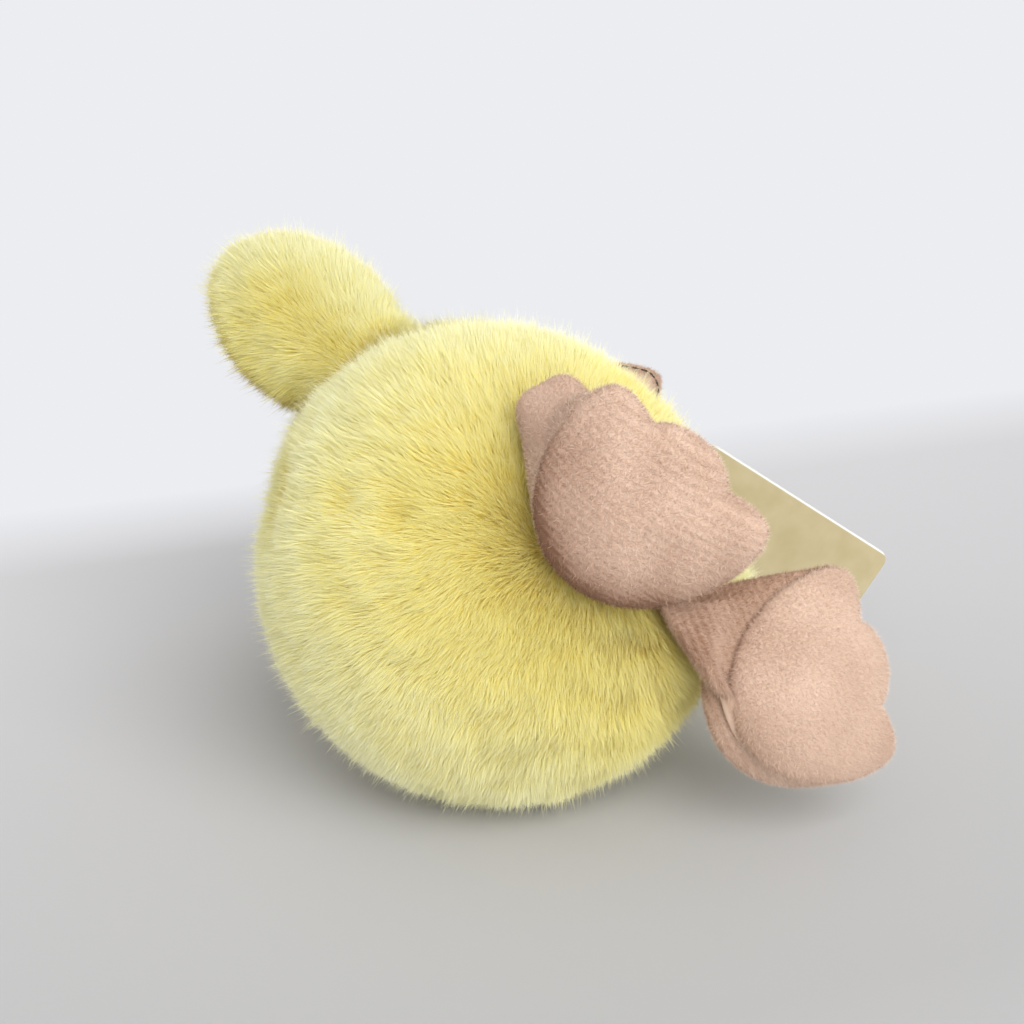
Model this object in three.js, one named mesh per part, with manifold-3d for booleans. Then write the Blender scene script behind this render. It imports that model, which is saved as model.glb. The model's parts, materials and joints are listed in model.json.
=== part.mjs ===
// Plush chick in fur fabric, lying on its left side with its underside to the front.
// It is made upright in its own frame, +X its left, -Y forward and +Z up, then laid down.
// All lengths are millimetres and all angles are degrees.

import * as THREE from "three";
import { mergeVertices } from "three/addons/utils/BufferGeometryUtils.js";
import Module from "manifold-3d";

const wasm = await Module();
wasm.setup();

// Cloth and clearances
const PILE = 5; // fur fabric, backing and pile together
const WING_PILE = 4; // the same fabric, sheared shorter on the wings
const VELOUR = 1.2; // cloth of the feet
const SEAM = 0.3; // gap between pieces that are sewn or laid together

// Body and head
const BODY_WIDTH = 88;
const BODY_DEPTH = 84;
const BODY_HEIGHT = 80;
const HEAD_WIDTH = 77;
const HEAD_DEPTH = 76;
const HEAD_HEIGHT = 68;
const HEAD_RISE = 42; // head centre above body centre
const SQUARENESS = 2.15; // 2 is a plain ellipsoid, more is fuller
const BASE_GORE = 40; // half angle of the lens-shaped base panel
const CROWN_GORE = 24; // half angle of the crown gusset
const POUCH_TOP = 17; // bean pouch's flat top, below body centre

// Eyes and beak
const EYE_DIAMETER = 7;
const EYE_SPREAD = 31; // turned from straight ahead
const EYE_RISE = 5; // above head centre
const EYE_SINK = 2.2; // eye centre below the pile's surface
const SHANK_DIAMETER = 2.4;
const SHANK_LENGTH = 9;
const WASHER_DIAMETER = 9;
const WASHER_THICKNESS = 1.4;
const WASHER_SLACK = 0.6; // to the cloth's backing
const BEAK_WIDTH = 24;
const BEAK_HEIGHT = 13;
const BEAK_REACH = 13; // in front of the pile's surface
const BEAK_ROOT = 3.2; // sunk in the pile
const BEAK_RISE = 2; // above head centre
const BEAK_BLUNTNESS = 1.4; // 1 is a plain cone, 2 is a half ellipse
const LOWER_BEAK_SHARE = 0.88; // lower half beside the upper half

// Wings
const WING_LENGTH = 42; // hinge to tip
const WING_WIDTH = 29;
const WING_ROOT_WIDTH = 11;
const WING_SWELL = 15; // hinge to the widest station
const WING_FLATNESS = 0.72; // thickness beside width
const RIGHT_WING = { sweep: -25, raise: 46, swing: [-10, 50] }; // sweep is forward from straight out
const LEFT_WING = { sweep: 90, raise: 0, swing: [0, 80] }; // swing is the hinge's range
const SWING_STEP = 10; // between the turns that a limb is cleared at

// Feet
const FOOT_LENGTH = 31.5;
const FOOT_WIDTH = 38;
const TOE_LINE = 22.5; // heel to the widest line
const OUTER_TOE_REACH = 30; // where the outer toe's curve is drawn to
const OUTER_TOE_PLACE = 14.5; // from the middle line
const MIDDLE_TOE_PLACE = 5.2; // half width of the middle toe's curve
const NOTCH_REACH = 27.8;
const NOTCH_SPREAD = 8; // notch from the middle line
const CROWN_PLACE = 16; // heel to the highest point
const TOP_CROWN = 8.5;
const SOLE_CROWN = 3.5;
const FOOT_ROOT_SIDE = 19; // ankle seam from the middle plane
const FOOT_ROOT_FORWARD = 21;
const ANKLE_WIDTH = 23;
const ANKLE_THICKNESS = 13;
const ANKLE_SUNK = 2; // root pressed against the body
const ANKLE_TAPER = 0.9; // neck of the ankle beside its root
const ANKLE_FLARE = 1.15; // end at the foot beside its root
const ANKLE_SEAT = [-4, -11.5, 2]; // where the ankle meets the foot, from the heel
const RIGHT_FOOT = { heel: [-6.5, -9.9, -43.3], yaw: -14.1, roll: 4.2, dip: 11.4, swing: [-25, 5] };
const LEFT_FOOT = { heel: [32.9, -20.5, -40], yaw: 17.3, roll: 7.8, dip: -14, swing: [-30, 20] };

// Card tag
const TAG_LENGTH = 50;
const TAG_WIDTH = 22;
const TAG_LEAF = 0.5;
const TAG_GAP = 1.4; // between the leaves
const TAG_CORNER = 2.4;
const TAG_TURN = 24.6; // long edge from straight left, turned forward
const TAG_CORNER_PLACE = [62.8, -73.2]; // outer front corner
const TAG_CLEARANCE = 1.2; // above the left wing
const HOLE_INSET = 4;
const FILAMENT = 1;
const FILAMENT_BEND = 2; // from the seam to where it turns up
const PIN_HEAD = 3;
const PIN_HEAD_THICKNESS = 0.6;
const PIN_BAR_LENGTH = 8;
const PIN_DEPTH = 2; // bar behind the cloth

// How it lies
const SPIN = 58.6; // about its own upright axis
const HEAD_DIP = 4.7; // head end lower than the seat
const YAW = 9.7;
const REST_FLAT = 2.5; // pile pressed flat on the floor

// Facets
const BALL_SIDES = 24;
const BALL_RINGS = 12;
const WING_SIDES = 12;
const WING_RINGS = 4; // for each of root, swell and tip
const FOOT_POINTS = 30;
const CUSHION_RINGS = [0.92, 0.72, 0.4];
const BEAK_SIDES = 16;
const BEAK_RINGS = 6;
const ROUND_SIDES = 10;
const BLOCK = 400; // side of a cutting block

const FUR = new THREE.Color(0xebe08c);
const FELT = new THREE.Color(0xd9b596);
const rad = THREE.MathUtils.degToRad;

// Solids

function solidOf(geometry) {
  const bare = geometry.index ? geometry.toNonIndexed() : geometry.clone();
  bare.deleteAttribute("normal");
  bare.deleteAttribute("uv");
  const merged = mergeVertices(bare, 1e-4);
  const corners = merged.index.array;
  const kept = [];
  for (let i = 0; i < corners.length; i += 3) {
    const [a, b, c] = [corners[i], corners[i + 1], corners[i + 2]];
    if (a !== b && b !== c && c !== a) kept.push(a, b, c);
  }
  return new wasm.Manifold(new wasm.Mesh({
    numProp: 3,
    vertProperties: new Float32Array(merged.attributes.position.array),
    triVerts: new Uint32Array(kept),
  }));
}

function geometryOf(solid) {
  const mesh = solid.getMesh();
  const geometry = new THREE.BufferGeometry();
  geometry.setAttribute("position", new THREE.BufferAttribute(new Float32Array(mesh.vertProperties), 3));
  geometry.setIndex(Array.from(mesh.triVerts));
  return geometry;
}

function material(color, roughness) {
  return new THREE.MeshStandardMaterial({ color, roughness, metalness: 0 });
}

function addMesh(parent, name, solid, color, roughness) {
  const geometry = geometryOf(solid);
  geometry.computeVertexNormals();
  const mesh = new THREE.Mesh(geometry, material(color, roughness));
  mesh.name = name;
  parent.add(mesh);
}

// Everything on the inner side of a plane: normal . p < distance
function halfSpace(normal, distance) {
  const block = new THREE.BoxGeometry(BLOCK, BLOCK, BLOCK);
  block.translate(0, 0, -BLOCK / 2);
  const turn = new THREE.Quaternion().setFromUnitVectors(new THREE.Vector3(0, 0, 1), normal);
  block.applyQuaternion(turn);
  block.translate(...normal.clone().multiplyScalar(distance).toArray());
  return solidOf(block);
}

const axis = { x: new THREE.Vector3(1, 0, 0), y: new THREE.Vector3(0, 1, 0), z: new THREE.Vector3(0, 0, 1) };

function below(direction, distance) {
  return halfSpace(direction, distance);
}

function above(direction, distance) {
  return halfSpace(direction.clone().negate(), -distance);
}

// A wedge that opens from a line along Y: a gore of the given half angle, grown by a margin
function gore(halfAngle, upward, margin) {
  const tip = margin / Math.sin(rad(halfAngle));
  const reach = BLOCK / 2;
  const side = (reach + tip) * Math.tan(rad(halfAngle));
  const shape = new THREE.Shape();
  shape.moveTo(0, -tip);
  shape.lineTo(side, reach);
  shape.lineTo(-side, reach);
  shape.closePath();
  const wedge = new THREE.ExtrudeGeometry(shape, { depth: BLOCK, bevelEnabled: false });
  wedge.translate(0, 0, -BLOCK / 2);
  wedge.rotateX(Math.PI / 2);
  if (!upward) wedge.rotateY(Math.PI);
  return solidOf(wedge);
}

// A stuffed ball, revolved about Z from a rounded profile
function squared(value) {
  return Math.sign(value) * Math.abs(value) ** (2 / SQUARENESS);
}

function ball(width, depth, height, inset) {
  const profile = [];
  for (let i = 0; i <= BALL_RINGS; i++) {
    const turn = Math.PI * (i / BALL_RINGS - 0.5);
    const onAxis = i === 0 || i === BALL_RINGS;
    const radius = onAxis ? 0 : squared(Math.cos(turn)) * (width / 2 - inset);
    profile.push(new THREE.Vector2(radius, squared(Math.sin(turn)) * (height / 2 - inset)));
  }
  const geometry = new THREE.LatheGeometry(profile, BALL_SIDES);
  geometry.rotateX(Math.PI / 2);
  geometry.scale(1, (depth / 2 - inset) / (width / 2 - inset), 1);
  return solidOf(geometry);
}

function ballRadius(width, height, level) {
  const share = Math.min(1, Math.abs(level) / (height / 2));
  return (width / 2) * (1 - share ** SQUARENESS) ** (1 / SQUARENESS);
}

const bodyBall = (inset) => ball(BODY_WIDTH, BODY_DEPTH, BODY_HEIGHT, inset);
const headBall = (inset) => ball(HEAD_WIDTH, HEAD_DEPTH, HEAD_HEIGHT, inset).translate([0, 0, HEAD_RISE]);

// Level of the neck crease, where the two balls are as wide as each other
function neckLevel() {
  let low = HEAD_RISE - HEAD_HEIGHT / 2;
  let high = BODY_HEIGHT / 2;
  for (let step = 0; step < 40; step++) {
    const middle = (low + high) / 2;
    const bodyWider = ballRadius(BODY_WIDTH, BODY_HEIGHT, middle)
      > ballRadius(HEAD_WIDTH, HEAD_HEIGHT, middle - HEAD_RISE);
    if (bodyWider) low = middle;
    else high = middle;
  }
  return (low + high) / 2;
}

const NECK = neckLevel();
const NECK_RADIUS = ballRadius(BODY_WIDTH, BODY_HEIGHT, NECK);

// How the upright chick is turned to lie down, and the floor seen from its own frame
const spun = new THREE.Group();
spun.rotation.z = rad(SPIN);
const laid = new THREE.Group();
laid.rotation.set(rad(-90 - HEAD_DIP), 0, rad(YAW), "ZXY");
laid.add(spun);
laid.updateMatrixWorld(true);

const down = new THREE.Vector3(0, 0, -1).transformDirection(spun.matrixWorld.clone().invert());

function reachAlong(solid, direction) {
  const points = solid.getMesh().vertProperties;
  let reach = -Infinity;
  for (let i = 0; i < points.length; i += 3) {
    const along = points[i] * direction.x + points[i + 1] * direction.y + points[i + 2] * direction.z;
    reach = Math.max(reach, along);
  }
  return reach;
}

const FLOOR = reachAlong(bodyBall(0), down) - REST_FLAT;
const overFloor = () => below(down, FLOOR);

// Room over the floor that the body and head leave free at every turn of a limb's hinge
function freeRoom(hinge, hingeAxis, swing) {
  const body = bodyBall(-SEAM).add(headBall(-SEAM)).translate(hinge.clone().negate().toArray());
  let room = overFloor();
  for (let turn = swing[0]; turn <= swing[1]; turn += SWING_STEP) {
    const turned = body.rotate(hingeAxis.clone().multiplyScalar(-turn).toArray());
    room = room.subtract(turned.translate(hinge.toArray()));
  }
  return room;
}

// Eyes: a domed button on a shank, held by a washer behind the cloth

function eyeFrame(side) {
  const turn = rad(EYE_SPREAD) * side;
  const level = EYE_RISE / (HEAD_HEIGHT / 2);
  const ring = (1 - level ** SQUARENESS) ** (1 / SQUARENESS);
  const x = Math.sin(turn) * ring * HEAD_WIDTH / 2;
  const y = -Math.cos(turn) * ring * HEAD_DEPTH / 2;
  const outward = new THREE.Vector3(x / HEAD_WIDTH ** 2, y / HEAD_DEPTH ** 2, EYE_RISE / HEAD_HEIGHT ** 2);
  outward.normalize();
  const centre = new THREE.Vector3(x, y, HEAD_RISE + EYE_RISE).addScaledVector(outward, -EYE_SINK);
  const turnOut = new THREE.Quaternion().setFromUnitVectors(axis.z, outward);
  return new THREE.Matrix4().compose(centre, turnOut, new THREE.Vector3(1, 1, 1));
}

function pillar(diameter, bottom, top) {
  const geometry = new THREE.CylinderGeometry(diameter / 2, diameter / 2, top - bottom, ROUND_SIDES);
  geometry.rotateX(Math.PI / 2);
  geometry.translate(0, 0, (top + bottom) / 2);
  return solidOf(geometry);
}

function eye(margin) {
  const dome = new THREE.SphereGeometry(EYE_DIAMETER / 2 + margin, ROUND_SIDES, 6);
  const shank = pillar(SHANK_DIAMETER + 2 * margin, -SHANK_LENGTH - margin, 0);
  return solidOf(dome).add(shank);
}

// The washer's rim touches the curved backing, PILE below the surface
const WASHER_BOW = WASHER_DIAMETER ** 2 / (4 * (HEAD_HEIGHT - 2 * PILE));
const WASHER_TOP = EYE_SINK - PILE - WASHER_BOW - WASHER_SLACK;

function washer() {
  const disc = pillar(WASHER_DIAMETER, WASHER_TOP - WASHER_THICKNESS, WASHER_TOP);
  return disc.subtract(pillar(SHANK_DIAMETER + 2 * SEAM, -SHANK_LENGTH, 0));
}

function washerPocket() {
  return pillar(WASHER_DIAMETER + 2 * SEAM, WASHER_TOP - WASHER_THICKNESS - SEAM, 0);
}

const bothSides = [["left", 1], ["right", -1]];

function atEye(solid, side) {
  return solid.transform(eyeFrame(side).elements);
}

// Beak: two padded halves that taper to a blunt tip

function beak(margin) {
  const front = HEAD_DEPTH / 2;
  const length = BEAK_ROOT + BEAK_REACH;
  const profile = [new THREE.Vector2(0, 0)];
  for (let i = 0; i < BEAK_RINGS; i++) {
    const share = i / BEAK_RINGS;
    const narrowing = (1 - share ** BEAK_BLUNTNESS) ** (1 / BEAK_BLUNTNESS);
    profile.push(new THREE.Vector2(BEAK_WIDTH / 2 * narrowing + margin, share * length));
  }
  profile.push(new THREE.Vector2(0, length + margin));
  const geometry = new THREE.LatheGeometry(profile, BEAK_SIDES);
  geometry.rotateX(Math.PI);
  geometry.scale(1, 1, (BEAK_HEIGHT / 2 + margin) / (BEAK_WIDTH / 2 + margin));
  geometry.translate(0, BEAK_ROOT - front, HEAD_RISE + BEAK_RISE);
  return solidOf(geometry);
}

function addBeak(parent) {
  const mouth = HEAD_RISE + BEAK_RISE;
  addMesh(parent, "beak_upper", beak(0).intersect(above(axis.z, mouth + SEAM / 2)), FELT, 0.9);
  const share = LOWER_BEAK_SHARE;
  const lower = beak(0)
    .translate([0, HEAD_DEPTH / 2 - BEAK_ROOT, -mouth])
    .scale([share, share, share])
    .translate([0, BEAK_ROOT - HEAD_DEPTH / 2, mouth])
    .intersect(below(axis.z, mouth - SEAM / 2));
  addMesh(parent, "beak_lower", lower, FELT, 0.9);
}

// Card tag: its place, its filament and its two leaves

const TAG_LEVEL = NECK + WING_WIDTH / 2 * WING_FLATNESS + TAG_CLEARANCE;

function tagHole() {
  const along = new THREE.Vector2(-Math.cos(rad(TAG_TURN)), Math.sin(rad(TAG_TURN)));
  const across = new THREE.Vector2(along.y, -along.x);
  return new THREE.Vector2(...TAG_CORNER_PLACE)
    .addScaledVector(along, TAG_LENGTH - HOLE_INSET)
    .addScaledVector(across, TAG_WIDTH - HOLE_INSET);
}

const HOLE = tagHole();
const HEAD_LEVEL = TAG_LEVEL + TAG_LEAF + SEAM; // underside of the pin's head

function rod(points, diameter, sides) {
  const section = new THREE.Shape();
  section.absarc(0, 0, diameter / 2, 0, 2 * Math.PI);
  const path = new THREE.CatmullRomCurve3(points, false, "centripetal");
  return solidOf(new THREE.ExtrudeGeometry(section, { steps: 10, curveSegments: sides, extrudePath: path }));
}

// The filament leaves the neck seam, rises beside the cheek and passes through the card
function filament(diameter) {
  const outward = HOLE.clone().normalize();
  const at = (radius, level) => new THREE.Vector3(outward.x * radius, outward.y * radius, level);
  const inner = NECK_RADIUS - PILE - PIN_DEPTH;
  return rod([
    at(inner, NECK),
    at(NECK_RADIUS, NECK),
    at(HOLE.length() - FILAMENT_BEND, NECK + FILAMENT_BEND),
    at(HOLE.length(), (NECK + HEAD_LEVEL) / 2),
    at(HOLE.length(), HEAD_LEVEL + PIN_HEAD_THICKNESS / 2),
  ], diameter, 4);
}

function tagPin() {
  const outward = HOLE.clone().normalize();
  const inner = NECK_RADIUS - PILE - PIN_DEPTH;
  const sideways = new THREE.Vector3(-outward.y, outward.x, 0).multiplyScalar(PIN_BAR_LENGTH / 2);
  const middle = new THREE.Vector3(outward.x * inner, outward.y * inner, NECK);
  const bar = rod([middle.clone().sub(sideways), middle.clone().add(sideways)], FILAMENT, 4);
  const head = pillar(PIN_HEAD, HEAD_LEVEL, HEAD_LEVEL + PIN_HEAD_THICKNESS).translate([HOLE.x, HOLE.y, 0]);
  return filament(FILAMENT).add(bar).add(head);
}

function pinRoom() {
  const outward = HOLE.clone().normalize();
  const inner = NECK_RADIUS - PILE - PIN_DEPTH;
  const room = new THREE.BoxGeometry(FILAMENT + 2 * SEAM, PIN_BAR_LENGTH + 2 * SEAM, FILAMENT + 2 * SEAM);
  room.rotateZ(Math.atan2(outward.y, outward.x));
  room.translate(outward.x * inner, outward.y * inner, NECK);
  return filament(FILAMENT + 2 * SEAM).add(solidOf(room));
}

// A card leaf from the fold along X, the open edge at +Y with round corners
function leaf(bottom) {
  const [length, width] = [TAG_LENGTH, TAG_WIDTH];
  const shape = new THREE.Shape();
  shape.moveTo(0, 0);
  shape.lineTo(length, 0);
  shape.lineTo(length, width - TAG_CORNER);
  shape.absarc(length - TAG_CORNER, width - TAG_CORNER, TAG_CORNER, 0, Math.PI / 2);
  shape.lineTo(TAG_CORNER, width);
  shape.absarc(TAG_CORNER, width - TAG_CORNER, TAG_CORNER, Math.PI / 2, Math.PI);
  shape.closePath();
  const geometry = new THREE.ExtrudeGeometry(shape, { depth: TAG_LEAF, bevelEnabled: false, curveSegments: 5 });
  geometry.translate(-HOLE_INSET, -HOLE_INSET, bottom);
  return solidOf(geometry);
}

function addTag(parent) {
  const tag = new THREE.Group();
  tag.name = "tag_pivot";
  tag.position.set(HOLE.x, HOLE.y, TAG_LEVEL);
  tag.rotation.set(Math.PI, 0, rad(-TAG_TURN), "ZYX");
  const flipped = -TAG_LEAF;
  const hole = pillar(FILAMENT + 2 * SEAM, -BLOCK, BLOCK);
  const spine = new THREE.BoxGeometry(TAG_LENGTH, TAG_LEAF, TAG_GAP - SEAM);
  spine.translate(TAG_LENGTH / 2 - HOLE_INSET, TAG_LEAF / 2 - HOLE_INSET, flipped - (TAG_GAP - SEAM) / 2);
  const cover = leaf(flipped).subtract(hole).add(solidOf(spine));
  addMesh(tag, "tag_cover_leaf", cover, 0xf3efe6, 0.7);
  addMesh(tag, "tag_back_leaf", leaf(flipped - TAG_GAP - TAG_LEAF), 0xf3efe6, 0.7);
  parent.add(tag);
}

// Skins, stuffing and bean pouch of the body and head

function sidePanels(parent, name, shell) {
  const seam = SEAM / 2;
  addMesh(parent, `${name}_left_panel`, shell.intersect(above(axis.x, seam)), FUR, 0.95);
  addMesh(parent, `${name}_right_panel`, shell.intersect(below(axis.x, -seam)), FUR, 0.95);
}

function addBody(parent) {
  const skin = bodyBall(0).subtract(bodyBall(PILE))
    .intersect(below(axis.z, NECK - SEAM / 2))
    .intersect(overFloor())
    .subtract(pinRoom());
  addMesh(parent, "body_base_panel", skin.intersect(gore(BASE_GORE, false, -SEAM / 2)), FUR, 0.95);
  sidePanels(parent, "body", skin.subtract(gore(BASE_GORE, false, SEAM / 2)));
}

function addHead(parent) {
  let skin = headBall(0).subtract(headBall(PILE))
    .intersect(above(axis.z, NECK + SEAM / 2))
    .intersect(overFloor())
    .subtract(pinRoom())
    .subtract(beak(SEAM));
  for (const [, side] of bothSides) skin = skin.subtract(atEye(eye(SEAM), side));
  const crown = gore(CROWN_GORE, true, -SEAM / 2).translate([0, 0, HEAD_RISE]);
  const aroundCrown = gore(CROWN_GORE, true, SEAM / 2).translate([0, 0, HEAD_RISE]);
  addMesh(parent, "head_crown_gusset", skin.intersect(crown), FUR, 0.95);
  sidePanels(parent, "head", skin.subtract(aroundCrown));
}

function addFilling(parent) {
  const inset = PILE + SEAM;
  const seat = bodyBall(inset);
  addMesh(parent, "bean_pouch", seat.intersect(below(axis.z, -POUCH_TOP - SEAM)), 0xd8d2c4, 0.9);
  let fibre = seat.intersect(above(axis.z, -POUCH_TOP)).intersect(below(axis.z, NECK))
    .add(headBall(inset).intersect(above(axis.z, NECK)))
    .subtract(pinRoom());
  for (const [, side] of bothSides) {
    fibre = fibre.subtract(atEye(eye(SEAM), side)).subtract(atEye(washerPocket(), side));
  }
  addMesh(parent, "fibre_stuffing", fibre, 0xf4f2ec, 1);
}

function addEyes(parent) {
  for (const [name, side] of bothSides) {
    addMesh(parent, `${name}_eye`, atEye(eye(0), side), 0x14110f, 0.15);
    addMesh(parent, `${name}_eye_washer`, atEye(washer(), side), 0xe6e2da, 0.5);
  }
}

// Wings: a flattened paddle revolved along its length, its root a ball about the hinge

function wingProfile(inset) {
  const root = WING_ROOT_WIDTH / 2 - inset;
  const half = WING_WIDTH / 2 - inset;
  const tip = WING_LENGTH - inset;
  const points = [];
  for (let i = 0; i < WING_RINGS; i++) {
    const turn = Math.PI / 2 * i / WING_RINGS;
    points.push(new THREE.Vector2(root * Math.sin(turn), -root * Math.cos(turn)));
  }
  for (let i = 0; i < WING_RINGS; i++) {
    const share = i / WING_RINGS;
    points.push(new THREE.Vector2(root + (half - root) * Math.sin(share * Math.PI / 2), share * WING_SWELL));
  }
  for (let i = 0; i < WING_RINGS; i++) {
    const turn = Math.PI / 2 * i / WING_RINGS;
    points.push(new THREE.Vector2(half * Math.cos(turn), WING_SWELL + (tip - WING_SWELL) * Math.sin(turn)));
  }
  points.push(new THREE.Vector2(0, tip));
  return points;
}

function paddle(inset) {
  const geometry = new THREE.LatheGeometry(wingProfile(inset), WING_SIDES);
  const thickness = WING_WIDTH / 2 * WING_FLATNESS - inset;
  geometry.scale(1, 1, thickness / (WING_WIDTH / 2 - inset));
  geometry.rotateZ(-Math.PI / 2);
  return solidOf(geometry);
}

function addWing(parent, name, side, pose) {
  const pivot = new THREE.Group();
  pivot.name = `${name}_wing_pivot`;
  pivot.position.set(side * (NECK_RADIUS + WING_ROOT_WIDTH / 2 + SEAM), 0, NECK);
  const straightOut = side > 0 ? 0 : 180;
  const turn = straightOut - side * pose.sweep;
  pivot.rotation.set(0, rad(-pose.raise), rad(turn), "ZYX");
  pivot.updateMatrix();
  const room = freeRoom(pivot.position, axis.z, pose.swing).transform(pivot.matrix.clone().invert().elements);
  const skin = paddle(0).subtract(paddle(WING_PILE)).intersect(room);
  addMesh(pivot, `${name}_wing_upper_panel`, skin.intersect(above(axis.z, SEAM / 2)), FUR, 0.95);
  addMesh(pivot, `${name}_wing_under_panel`, skin.intersect(below(axis.z, -SEAM / 2)), FUR, 0.95);
  addMesh(pivot, `${name}_wing_stuffing`, paddle(WING_PILE + SEAM).intersect(room), 0xf4f2ec, 1);
  parent.add(pivot);
}

// Feet: a fan-shaped cushion with three scalloped toes and an ankle sewn to the body

function footOutline(inset) {
  const half = FOOT_WIDTH / 2;
  const outer = OUTER_TOE_REACH;
  const middleToe = NOTCH_REACH + (FOOT_LENGTH - NOTCH_REACH) / 0.75; // a cubic rises 3/4 of the way
  const shape = new THREE.Shape();
  shape.absellipse(0, TOE_LINE, half, TOE_LINE, Math.PI, 2 * Math.PI);
  shape.bezierCurveTo(half, outer, OUTER_TOE_PLACE, outer, NOTCH_SPREAD, NOTCH_REACH);
  shape.bezierCurveTo(MIDDLE_TOE_PLACE, middleToe, -MIDDLE_TOE_PLACE, middleToe, -NOTCH_SPREAD, NOTCH_REACH);
  shape.bezierCurveTo(-OUTER_TOE_PLACE, outer, -half, outer, -half, TOE_LINE);
  const points = shape.getSpacedPoints(FOOT_POINTS).slice(0, FOOT_POINTS);
  const middle = new THREE.Vector2(0, CROWN_PLACE);
  const share = 1 - inset / (FOOT_LENGTH / 2);
  return { middle, points: points.map((p) => p.clone().sub(middle).multiplyScalar(share).add(middle)) };
}

// A cushion over an outline: rings that rise from the seam to a crown, above and below
function cushion(inset) {
  const { middle, points } = footOutline(inset);
  const count = points.length;
  const vertices = [];
  const faces = [];
  const put = (share, level) => points.forEach((p) => {
    const spot = p.clone().sub(middle).multiplyScalar(share).add(middle);
    vertices.push(spot.x, -spot.y, level);
  });
  const dome = (share, crown) => crown * Math.sqrt(1 - share ** 2);
  const bridge = (a, b, flip) => {
    for (let i = 0; i < count; i++) {
      const j = (i + 1) % count;
      const quad = [a + i, a + j, b + j, b + i];
      if (flip) quad.reverse();
      faces.push(quad[0], quad[1], quad[2], quad[0], quad[2], quad[3]);
    }
  };
  put(1, 0);
  for (const [crown, flip] of [[TOP_CROWN - inset, true], [inset - SOLE_CROWN, false]]) {
    let last = 0;
    for (const share of CUSHION_RINGS) {
      const next = vertices.length / 3;
      put(share, dome(share, crown));
      bridge(last, next, flip);
      last = next;
    }
    const pole = vertices.length / 3;
    vertices.push(middle.x, -middle.y, crown);
    for (let i = 0; i < count; i++) {
      const j = (i + 1) % count;
      faces.push(...(flip ? [last + j, last + i, pole] : [last + i, last + j, pole]));
    }
  }
  const geometry = new THREE.BufferGeometry();
  geometry.setAttribute("position", new THREE.BufferAttribute(new Float32Array(vertices), 3));
  geometry.setIndex(faces);
  return solidOf(geometry);
}

// Ankle seam on the body's underside, and the hinge just outside it
function footHinge(side) {
  const spot = new THREE.Vector3(side * FOOT_ROOT_SIDE, -FOOT_ROOT_FORWARD, 0);
  const flat = (Math.abs(spot.x) / (BODY_WIDTH / 2)) ** 2 + (Math.abs(spot.y) / (BODY_DEPTH / 2)) ** 2;
  const ring = Math.sqrt(flat) ** SQUARENESS;
  spot.z = -BODY_HEIGHT / 2 * (1 - ring) ** (1 / SQUARENESS);
  const outward = new THREE.Vector3(spot.x / BODY_WIDTH ** 2, spot.y / BODY_DEPTH ** 2, spot.z / BODY_HEIGHT ** 2);
  outward.normalize();
  return spot.addScaledVector(outward, ANKLE_THICKNESS / 2 - ANKLE_SUNK);
}

function footMatrix(pose) {
  const turn = new THREE.Euler(rad(pose.dip), rad(pose.roll), rad(pose.yaw), "ZYX");
  const quaternion = new THREE.Quaternion().setFromEuler(turn);
  return new THREE.Matrix4().compose(new THREE.Vector3(...pose.heel), quaternion, new THREE.Vector3(1, 1, 1));
}

// A round ended neck of cloth between the hinge and the foot's top
function ankle(pose, side) {
  const toFoot = footMatrix(pose).invert();
  const hinge = footHinge(side).applyMatrix4(toFoot);
  const across = new THREE.Vector3(1, 0, 0).transformDirection(toFoot);
  const seat = new THREE.Vector3(...ANKLE_SEAT);
  const along = seat.clone().sub(hinge).normalize();
  const frame = new THREE.Matrix4();
  const wide = across.clone().addScaledVector(along, -across.dot(along)).normalize();
  frame.makeBasis(wide, along.clone().cross(wide), along);
  const root = new THREE.SphereGeometry(ANKLE_THICKNESS / 2, ROUND_SIDES, 8);
  root.rotateZ(Math.PI / 2);
  root.scale(ANKLE_WIDTH / ANKLE_THICKNESS, 1, 1);
  const axle = new THREE.Quaternion().setFromUnitVectors(axis.x, across);
  root.applyQuaternion(axle);
  root.translate(hinge.x, hinge.y, hinge.z);
  const length = seat.distanceTo(hinge);
  const neck = new THREE.CylinderGeometry(ANKLE_FLARE / 2, ANKLE_TAPER / 2, length, ROUND_SIDES);
  neck.rotateX(Math.PI / 2);
  neck.translate(0, 0, length / 2);
  neck.scale(ANKLE_WIDTH, ANKLE_THICKNESS, 1);
  neck.applyMatrix4(frame);
  neck.translate(hinge.x, hinge.y, hinge.z);
  return solidOf(root).add(solidOf(neck));
}

function addFoot(parent, name, side, pose) {
  const foot = new THREE.Group();
  foot.name = `${name}_foot_pivot`;
  foot.applyMatrix4(footMatrix(pose));
  foot.userData.hinge = footHinge(side);
  const room = freeRoom(footHinge(side), axis.x, pose.swing).transform(footMatrix(pose).invert().elements);
  const sole = cushion(0).subtract(cushion(VELOUR)).intersect(below(axis.z, -SEAM / 2));
  const top = cushion(0).add(ankle(pose, side)).subtract(cushion(VELOUR)).intersect(above(axis.z, SEAM / 2));
  addMesh(foot, `${name}_foot_top`, top.intersect(room), FELT, 0.95);
  addMesh(foot, `${name}_foot_sole`, sole, FELT, 0.95);
  addMesh(foot, `${name}_foot_stuffing`, cushion(VELOUR + SEAM), 0xf4f2ec, 1);
  parent.add(foot);
}

// Assembly

addBody(spun);
addHead(spun);
addFilling(spun);
addEyes(spun);
addBeak(spun);
addWing(spun, "left", 1, LEFT_WING);
addWing(spun, "right", -1, RIGHT_WING);
addFoot(spun, "left", 1, LEFT_FOOT);
addFoot(spun, "right", -1, RIGHT_FOOT);
addTag(spun);
addMesh(spun, "tag_filament", tagPin(), 0xf5f5f2, 0.4);

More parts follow.
